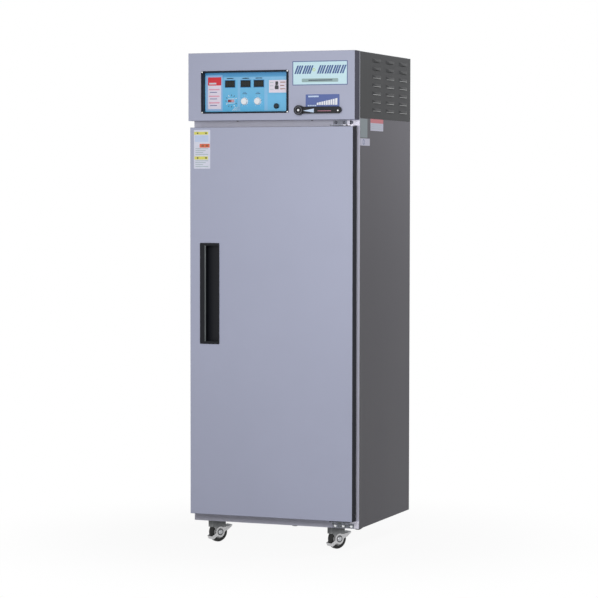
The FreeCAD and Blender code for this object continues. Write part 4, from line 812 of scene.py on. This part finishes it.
scaleLabel = {
    "left": 0.137, "right": 0.267, "bottom": 0.043, "top": 0.091,
    "wedge": (0.008, 0.122, 0.010, 0.010, 0.034),   # left, right, base, height left, right
    "divisions": 13, "lowMarks": 4, "markHeight": 0.0055, "gap": 0.0018,
    "bar": (0.010, 0.050, 0.038, 0.0435),
}


def makeScaleLabel(look):
    # A blue label: a row of low marks, then pale bars that grow to the right in equal steps.
    u0, u1, v0, v1 = look["left"], look["right"], look["bottom"], look["top"]
    shapes = [(box(u0, u1, v0, v1, 0.0015), 0, thin["card"], "labelBlue")]
    left, right, base, low, high = look["wedge"]
    count = look["divisions"]
    step = (right - left) / count
    for i in range(count):
        a = left + i * step
        b = a + step - (look["gap"] if i < count - 1 else 0)
        ha = low + (high - low) * (a - left) / (right - left)
        hb = low + (high - low) * (b - left) / (right - left)
        if i < look["lowMarks"]:
            ha = hb = look["markHeight"]
        shapes.append(([(u0 + a, v0 + base), (u0 + b, v0 + base), (u0 + b, v0 + hb),
                        (u0 + a, v0 + ha)], *layer(0), "paleBlue" if i < look["lowMarks"] else "white"))
    a, b, c, d = look["bar"]
    shapes.append((box(u0 + a, u0 + b, v0 + c, v0 + d), *layer(0), "paleBlue"))
    return printed("scale_label", headerFace, "cabinet", shapes)


makeNamePlate(namePlate)
makeScaleLabel(scaleLabel)


# Marks on the damper lever

leverMarks = {
    "arrow": (0.147, 0.174, 0.0255, 0.0395), "arrowTip": 0.135,
    "line": (0.188, 0.240, 0.0305, 0.0320), "dot": (0.2655, 0.0320, 0.0034),
    "setBack": 0.005,           # face of the hub to the face of the arm
    # ring and glint are painted highlights on the hub.
    "ring": (0.1155, 0.0345, 0.0135, 0.0115), "glint": 0.0042,
}


def makeLeverMarks(look):
    back = -look["setBack"]
    a, b, c, d = look["arrow"]
    middle = (c + d) / 2
    shapes = [([(look["arrowTip"], middle - 0.001), (b, c), (b, d), (look["arrowTip"], middle + 0.001)],
               back, back + 0.0003, "paleBlue")]
    a, b, c, d = look["line"]
    shapes.append((box(a, b, c, d), back, back + 0.0003, "rose"))
    # Painted highlight on the hub: a grey sheen on its raised ring and a white glint on its centre.
    u, v, outer, inner = look["ring"]
    for piece in ringShape(u, v, outer, inner):
        shapes.append((piece, -0.0002, 0.0001, "leverRing"))
    shapes.append((disc(u, v, look["glint"]), -0.0002, 0.0001, "white"))
    return printed("lever_marks", leverFace, "damper", shapes)


def domedHead(bm, centre, out, radius, height, steps=20, slot=None):
    # A pan head screw: a low dome on a short rim, with a cross or a straight slot cut as a dip.
    across = out.orthogonal().normalized()
    other = out.cross(across)
    rings = []
    for r, h in ((radius, 0.0), (radius, height * 0.35), (radius * 0.86, height * 0.72),
                 (radius * 0.5, height * 0.95)):
        rings.append([bm.verts.new(centre + out * h + (across * math.cos(2 * math.pi * i / steps)
                      + other * math.sin(2 * math.pi * i / steps)) * r) for i in range(steps)])
    for low, high in zip(rings, rings[1:]):
        for i in range(steps):
            j = (i + 1) % steps
            bm.faces.new((low[i], low[j], high[j], high[i]))
    tip = bm.verts.new(centre + out * height * (0.62 if slot else 1.0))
    for i in range(steps):
        bm.faces.new((rings[-1][i], rings[-1][(i + 1) % steps], tip))
    bm.faces.new(rings[0][::-1])


def screwHeads(name, body, material, places, out, radius, height, slot=True):
    bm = bmesh.new()
    for place in places:
        domedHead(bm, Vector(place), Vector(out), radius, height, slot=slot)
    bmesh.ops.recalc_face_normals(bm, faces=bm.faces)
    return meshPiece(name, bm, body, [material], smooth=True)


makeLeverMarks(leverMarks)
u, v, radius = leverMarks["dot"]
screwHeads("lever_rivet", "damper", brightZinc,
           [leverFace.at(u, v, -leverMarks["setBack"] - 0.0018)], leverFace.out, radius, 0.0030,
           slot=False)
print("header plates and lever marks done")


# Print on the control plate

panelPrint = {
    "redBlock": (-0.254, -0.201, 0.129, 0.159),
    "column": (-0.254, -0.202, 0.043, 0.129), "columnRules": (0.112, 0.088, 0.064),
    "leftField": (-0.262, -0.196, 0.036, 0.166),
    "overWindows": (-0.190, 0.060, 0.149, 0.158),
    "uprights": ((-0.136, -0.126), (-0.031, -0.018)), "uprightHeight": (0.036, 0.149),
    "halo": (0.0155, 0.0090), "fan": (0.0180, 0.0235, 11, 0.0024),
    "square": (-0.013, 0.055, 0.100, 0.146), "figure": (0.010, 0.025, 0.112, 0.141),
    "rightField": (-0.018, 0.060, 0.034, 0.094),
    "dialTicks": 11, "dialRadius": 0.0175, "dialStart": -60.0, "dialSweep": 300.0,
}


def windowPlaces():
    # Left and right of the three display windows, from their own mesh.
    xs = sorted({round(v.co.x, 5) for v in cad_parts["display_windows"].data.vertices})
    return list(zip(xs[0::2], xs[1::2]))


def nodeCentre(node):
    low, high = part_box(node)
    return (low + high) / 2


def makePanelPrint(look):
    # Fields, rules, ticks and plain blocks, each a thin printed layer on the plate.
    print1, print2, print3 = ((i * 0.00008, (i + 1) * 0.00008 + 0.00002) for i in range(3))
    shapes = [(box(*look["leftField"]), *print1, "skyField"),
              (box(*look["redBlock"], 0.0015), *print2, "red"),
              (box(*look["column"]), *print2, "columnWhite"),
              (box(*look["overWindows"]), *print1, "bandBlue")]
    for a, b in look["uprights"]:
        shapes.append((box(a, b, *look["uprightHeight"]), *print1, "bandBlue"))
    a, b, c, d = look["redBlock"]
    shapes.append((box(a + 0.005, b - 0.020, c + 0.004, c + 0.010), *print3, "mist"))
    a, b, c, d = look["column"]
    for i, v in enumerate(look["columnRules"]):
        shapes.append((box(a + 0.004, b - 0.006, v, v + 0.0040), *print3, "rose"))
        shapes.append((box(a + 0.008, b - 0.016, v - 0.009, v - 0.0065), *print3, "navy"))
    # a thin dark frame round each display, and a pale bar over it
    low, high = windowsLow.z - headerLow.z, windowsHigh.z - headerLow.z
    for x0, x1 in windowPlaces():
        edge = 0.0024
        shapes.append((box(x0 - edge, x1 + edge, low - edge, high + edge, 0.001), *print1,
                       "cyanDeep"))
        shapes.append((box(x0 + 0.006, x1 - 0.006, high + 0.006, high + 0.009), *print1,
                       "paleCyan"))
    # a pale halo round the rocker, and a fan of short strokes round that
    centre = nodeCentre("power_switch")
    u, v = centre.x, centre.z - headerLow.z
    halfWide, halfHigh = look["halo"]
    shapes.append((box(u - halfWide, u + halfWide, v - halfHigh, v + halfHigh, 0.004), *print2,
                   "paleCyan"))
    inner, outer, count, width = look["fan"]
    for i in range(count):
        angle = math.radians(25 + 310 * i / (count - 1))
        shapes.append((stroke(u + inner * math.cos(angle), v + inner * math.sin(angle),
                              u + outer * math.cos(angle), v + outer * math.sin(angle), width),
                       *print2, "darkSlate" if i % 3 else "white"))
    # dial rings and ticks round both knobs
    for knob in ("temperature_knob", "timer_knob"):
        centre = nodeCentre(knob)
        u, v = centre.x, centre.z - headerLow.z
        count = look["dialTicks"]
        for i in range(count):
            angle = math.radians(look["dialStart"] + look["dialSweep"] * i / (count - 1))
            r0 = look["dialRadius"]
            r1 = r0 + (0.0034 if i % 5 == 0 else 0.0020)
            shapes.append((stroke(u + r0 * math.cos(angle), v + r0 * math.sin(angle),
                                  u + r1 * math.cos(angle), v + r1 * math.sin(angle), 0.0008),
                           *print1, "white"))
        shapes.append((box(u - 0.009, u + 0.009, v + 0.0265, v + 0.0285), *print1, "darkSlate"))
        shapes.append((box(u - 0.006, u + 0.006, v + 0.0315, v + 0.0330), *print1, "deepBlue"))
    # the pale square with its small dark figure, and fields at the right
    shapes.append((box(*look["rightField"], 0.001), *print1, "skyLine"))
    a, b, c, d = look["square"]
    shapes.append((box(a, b, c, d, 0.001), *print2, "columnWhite"))
    a1, b1, c1, d1 = look["figure"]
    middle = (c1 + d1) / 2
    shapes.append((box(a1 + 0.002, b1 - 0.002, middle + 0.0005, d1, 0.003), *print3, "softBlack"))
    shapes.append((box(a1, b1, c1, middle, 0.003), *print3, "softBlack"))
    for i in range(3):
        v = d - 0.010 - i * 0.012
        shapes.append((box(a + 0.004, a + 0.018, v, v + 0.0016), *print3, "greyGreen"))
        shapes.append((box(b - 0.024, b - 0.004 - 0.004 * (i % 2), v, v + 0.0030), *print3,
                       "brown"))
    # two slanted pale strokes at the lower middle
    for i in range(3):
        u = -0.158 + i * 0.007
        shapes.append((slanted(u, 0.036, 0.050, 0.0018, 0.014), *print1, "white"))
    return printed("panel_print", plateFace, "cabinet", shapes)


def segments(u, v, width, height, thick):
    # The seven strokes of one digit.
    mid = v + height / 2
    flat = [(v, True), (mid, True), (v + height, True)]
    strokes = [stroke(u + thick, y, u + width - thick, y, thick) for y, on in flat]
    for x in (u, u + width):
        for low in (v, mid):
            strokes.append(stroke(x, low + thick, x, low + height / 2 - thick, thick))
    return strokes


def makeDigits():
    # Unlit number places behind the windows, three in each.
    shapes = []
    low, high = windowsLow.z - headerLow.z, windowsHigh.z - headerLow.z
    for x0, x1 in windowPlaces():
        pitch = (x1 - x0) / 3.4
        for i in range(3):
            u = x0 + pitch * 0.42 + i * pitch
            for each in segments(u, low + 0.0065, pitch * 0.55, high - low - 0.013, 0.0013):
                shapes.append((each, -0.00002, 0.00006, "unlit"))
    return printed("display_digits", windowFace, "cabinet", shapes)


makePanelPrint(panelPrint)
makeDigits()
print("control plate printed")


# Cards on the door and on the side

doorCard = {
    "left": 0.0155, "width": 0.065, "top": -0.009, "height": 0.142,
    # down from the top, height, left, right, ink
    "bars": ((0.007, 0.0105, 0.001, 0.057, "yellow"), (0.020, 0.024, 0.004, 0.058, "cardBlue"),
             (0.051, 0.0140, 0.023, 0.063, "orange"), (0.097, 0.0115, 0.002, 0.056, "yellow")),
    "marks": ((0.0095, 0.0055, 0.012, 0.018, "olive"), (0.0095, 0.0055, 0.045, 0.052, "olive"),
              (0.0545, 0.0070, 0.030, 0.040, "brown"), (0.0545, 0.0070, 0.047, 0.057, "brown"),
              (0.1000, 0.0055, 0.012, 0.018, "olive"), (0.1000, 0.0055, 0.045, 0.052, "olive")),
    "rules": ((0.069, 0.090), (0.113, 0.134)),
}


def makeDoorCard(look):
    # A pale card with three coloured bars, plain marks on them and plain rules below.
    u0, v1 = look["left"], look["top"]
    u1, v0 = u0 + look["width"], v1 - look["height"]
    shapes = [(box(u0, u1, v0, v1, 0.002), 0, thin["card"], "cardWhite")]
    for level, rows in enumerate((look["bars"], look["marks"])):
        for down, height, a, b, colour in rows:
            top = v1 - down
            shapes.append((box(u0 + a, u0 + b, top - height, top), *layer(level), colour))
    for first, last in look["rules"]:
        count = 4
        for i in range(count):
            v = v1 - first - (last - first) * i / (count - 1)
            end = u1 - 0.008 - 0.010 * (i % 3)
            shapes.append((box(u0 + 0.006, end, v - 0.0009, v + 0.0009), *layer(0), "greyGreen"))
    return printed("door_card", doorFace, "door", shapes)


sideCards = {
    "large": (0.112, 0.252, -0.0435, -0.0003), "redDepth": 0.015,
    # The pale patch is no card but a painted reflection: a paler teal-grey patch on the sheet by its
    # front edge, just below the seam.
    "reflectionPatch": (0.003, 0.080, -0.070, -0.002),
    "small": (0.003, 0.105, -0.099, -0.073), "figure": (0.040, -0.086, 0.012),
}


def makeSideCards(look):
    u0, u1, v0, v1 = look["large"]
    # The first slab is the painted reflection by the front edge.
    shapes = [(box(*look["reflectionPatch"], 0.002), 0, thin["print"], "tealGrey"),
              (box(u0, u1, v0, v1, 0.002), 0, thin["card"], "sideCard"),
              (box(u0, u1, v1 - look["redDepth"], v1, 0.002), *layer(0), "sideRed")]
    for i in range(3):
        v = v1 - look["redDepth"] - 0.007 - i * 0.007
        shapes.append((box(u0 + 0.010, u1 - 0.014 - 0.018 * (i % 2), v, v + 0.0014), *layer(0),
                       "greyGreen"))
    a, b, c, d = look["small"]
    shapes.append((box(a, b, c, d, 0.002), 0, thin["card"], "sideCard"))
    u, v, radius = look["figure"]
    for piece in ringShape(u, v, radius * 0.85, radius * 0.55):
        shapes.append((piece, *layer(0), "plateEdge"))
    return printed("side_cards", sideFace, "cabinet", shapes)


makeDoorCard(doorCard)
makeSideCards(sideCards)

# Small screws that hold the sheets
sheetScrews = {"radius": 0.0042, "height": 0.0022, "sunk": 0.0003}
underHeader = [(x, frameLow.y - 0.014, headerLow.z) for x in (-0.146, 0.146)]
screwHeads("header_screws", "cabinet", blackPlastic, underHeader, (0, 0, -1),
           sheetScrews["radius"], sheetScrews["height"])
rearScrews = []
for i in range(6):
    z = rearLow.z + 0.03 + i * (rearHigh.z - rearLow.z - 0.06) / 5
    rearScrews += [(x, rearHigh.y, z) for x in (rearLow.x + 0.012, rearHigh.x - 0.012)]
screwHeads("rear_screws", "cabinet", brightZinc, rearScrews, (0, 1, 0),
           sheetScrews["radius"], sheetScrews["sunk"])
topScrews = [(x, y, headerHigh.z) for x in (rightHigh.x - 0.012, -rightHigh.x + 0.012)
             for y in (frameLow.y + 0.03, (frameLow.y + rearHigh.y) / 2, rearHigh.y - 0.03)]
screwHeads("top_screws", "cabinet", brightZinc, topScrews, (0, 0, 1),
           sheetScrews["radius"], sheetScrews["sunk"])
print("cards and screws done")


# The door gasket: a soft hollow profile in a ring, in place of the plain solid

gasketProfile = (
    # distance from the outer edge, height above the door's back, as shares of the box
    (0.00, 0.00), (0.00, 0.16), (0.10, 0.20), (0.10, 0.32), (0.02, 0.42), (0.02, 0.62),
    (0.12, 0.74), (0.04, 0.84), (0.10, 0.95), (0.24, 1.00), (0.76, 1.00), (0.90, 0.95),
    (0.96, 0.84), (0.88, 0.74), (0.98, 0.62), (0.98, 0.42), (0.90, 0.32), (0.90, 0.20),
    (1.00, 0.16), (1.00, 0.00),
)


def makeGasket(profile):
    low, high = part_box("door_gasket")
    width = 0.015
    bm = bmesh.new()
    rings = []
    for along, up in profile:
        inset, y = along * width, low.y + up * (high.y - low.y)
        rings.append([bm.verts.new((x, y, z)) for x, z in (
            (low.x + inset, low.z + inset), (high.x - inset, low.z + inset),
            (high.x - inset, high.z - inset), (low.x + inset, high.z - inset))])
    count = len(rings)
    for i in range(count):
        a, b = rings[i], rings[(i + 1) % count]
        for j in range(4):
            k = (j + 1) % 4
            bm.faces.new((a[j], a[k], b[k], b[j]))
    bmesh.ops.recalc_face_normals(bm, faces=bm.faces)
    piece = meshPiece("gasket_profile", bm, "door", [gasketRubber])
    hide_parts("door_gasket")
    return piece


makeGasket(gasketProfile)
print("gasket done")


# Camera at the photo's angle, floor, world and lamps

view = {
    "yaw": 21.36, "pitch": 2.72, "roll": 0.07, "distance": 8.901, "lens": 141.6,
    "aim": (0.0, 0.325, 0.900),       # from the face of the front frame and the body's lower edge
    "slide": (0.034, 0.085),
}


def makeCamera(look):
    yaw, pitch, roll = (math.radians(look[k]) for k in ("yaw", "pitch", "roll"))
    ahead = Vector((-math.sin(yaw), math.cos(yaw), 0))
    right = Vector((math.cos(yaw), math.sin(yaw), 0))
    up = Vector((0, 0, 1))
    forward = ahead * math.cos(pitch) - up * math.sin(pitch)
    upright = up * math.cos(pitch) + ahead * math.sin(pitch)
    side = right * math.cos(roll) + upright * math.sin(roll)
    top = upright * math.cos(roll) - right * math.sin(roll)
    aim = Vector(look["aim"]) + Vector((0, frameLow.y, frameLow.z))
    place = aim - forward * look["distance"] - side * look["slide"][0] - top * look["slide"][1]
    camera = bpy.data.cameras.new("camera")
    camera.lens = look["lens"]
    camera.sensor_width = 36.0
    camera.clip_end = 60.0
    holder = bpy.data.objects.new("camera", camera)
    turn = Matrix((side, top, -forward)).transposed()
    holder.matrix_world = Matrix.Translation(place) @ turn.to_4x4()
    bpy.context.scene.collection.objects.link(holder)
    bpy.context.scene.camera = holder


lamps = {
    # name: place, aim, width, height, watts
    "front_softbox": ((0.50, -2.60, 1.65), (0.05, -0.25, 1.20), 1.7, 1.5, 39.5),
    "side_fill": ((1.6, 0.9, 2.5), (0.33, 0.2, 1.65), 0.8, 0.8, 24.0),
}
worldLight = 0.20


def makeLamps(rows):
    for name, (place, aim, width, height, watts) in rows.items():
        lamp = bpy.data.lights.new(name, "AREA")
        lamp.shape = "RECTANGLE"
        lamp.size, lamp.size_y, lamp.energy = width, height, watts
        holder = bpy.data.objects.new(name, lamp)
        way = Vector(aim) - Vector(place)
        holder.matrix_world = (Matrix.Translation(place)
                               @ way.to_track_quat("-Z", "Y").to_matrix().to_4x4())
        bpy.context.scene.collection.objects.link(holder)


def seenBackground(paint):
    # 1 for what the camera, a reflection or a pane sees directly, 0 for the light on the object.
    path = paint.node("ShaderNodeLightPath").socket.node.outputs
    names = ("Is Camera Ray", "Is Glossy Ray", "Is Transmission Ray")
    camera, glossy, through = (Wire(paint, path[name]) for name in names)
    return camera.bigger(glossy).bigger(through)


class WorldPaint(Paint):
    def __init__(self, world):
        world.use_nodes = True
        self.tree = world.node_tree


def makeWorld():
    world = bpy.data.worlds.new("studio")
    bpy.context.scene.world = world
    paint = WorldPaint(world)
    lightNode = paint.tree.nodes["Background"]
    lightNode.inputs["Color"].default_value = (1.0, 1.0, 1.0, 1.0)
    lightNode.inputs["Strength"].default_value = worldLight
    white = paint.node("ShaderNodeBackground", None, {"Color": (1, 1, 1, 1), "Strength": 1.0})
    mixed = paint.node("ShaderNodeMixShader", None, {
        0: seenBackground(paint), 1: Wire(paint, lightNode.outputs[0]), 2: white})
    paint.tree.links.new(mixed.socket, paint.tree.nodes["World Output"].inputs["Surface"])


floorLook = {"size": 30.0, "near": 0.42, "far": 1.4, "least": 0.93, "white": 0.62}


def makeFloor(look):
    half = look["size"] / 2
    bm = bmesh.new()
    bm.faces.new([bm.verts.new((x, y, 0)) for x, y in (
        (-half, -half), (half, -half), (half, half), (-half, half))])
    mesh = bpy.data.meshes.new("floor")
    bm.to_mesh(mesh)
    bm.free()
    paint = Paint("floor_white")
    across, deep, high = paint.parts(paint.place())
    reach = (across * across + deep * deep).power(0.5)
    grain = paint.noise(6.0, 3.0)
    paint.finish(**{"Base Color": paint.shade((look["white"],) * 3, 0.99 + grain * 0.02),
                    "Roughness": 0.9})
    glow = paint.node("ShaderNodeEmission", None, {"Color": (1, 1, 1, 1), "Strength": 1.0})
    share = (look["least"] + reach.fade(look["near"], look["far"]) * (1 - look["least"]))
    mixed = paint.node("ShaderNodeMixShader", None, {
        0: share * seenBackground(paint), 1: Wire(paint, paint.shader.outputs[0]), 2: glow})
    paint.tree.links.new(mixed.socket, paint.tree.nodes["Material Output"].inputs["Surface"])
    mesh.materials.append(paint.material)
    floor = bpy.data.objects.new("floor", mesh)
    bpy.context.scene.collection.objects.link(floor)


makeCamera(view)
makeLamps(lamps)
makeWorld()
makeFloor(floorLook)
bpy.context.scene.view_settings.view_transform = "Standard"
print("camera, lamps and floor done")
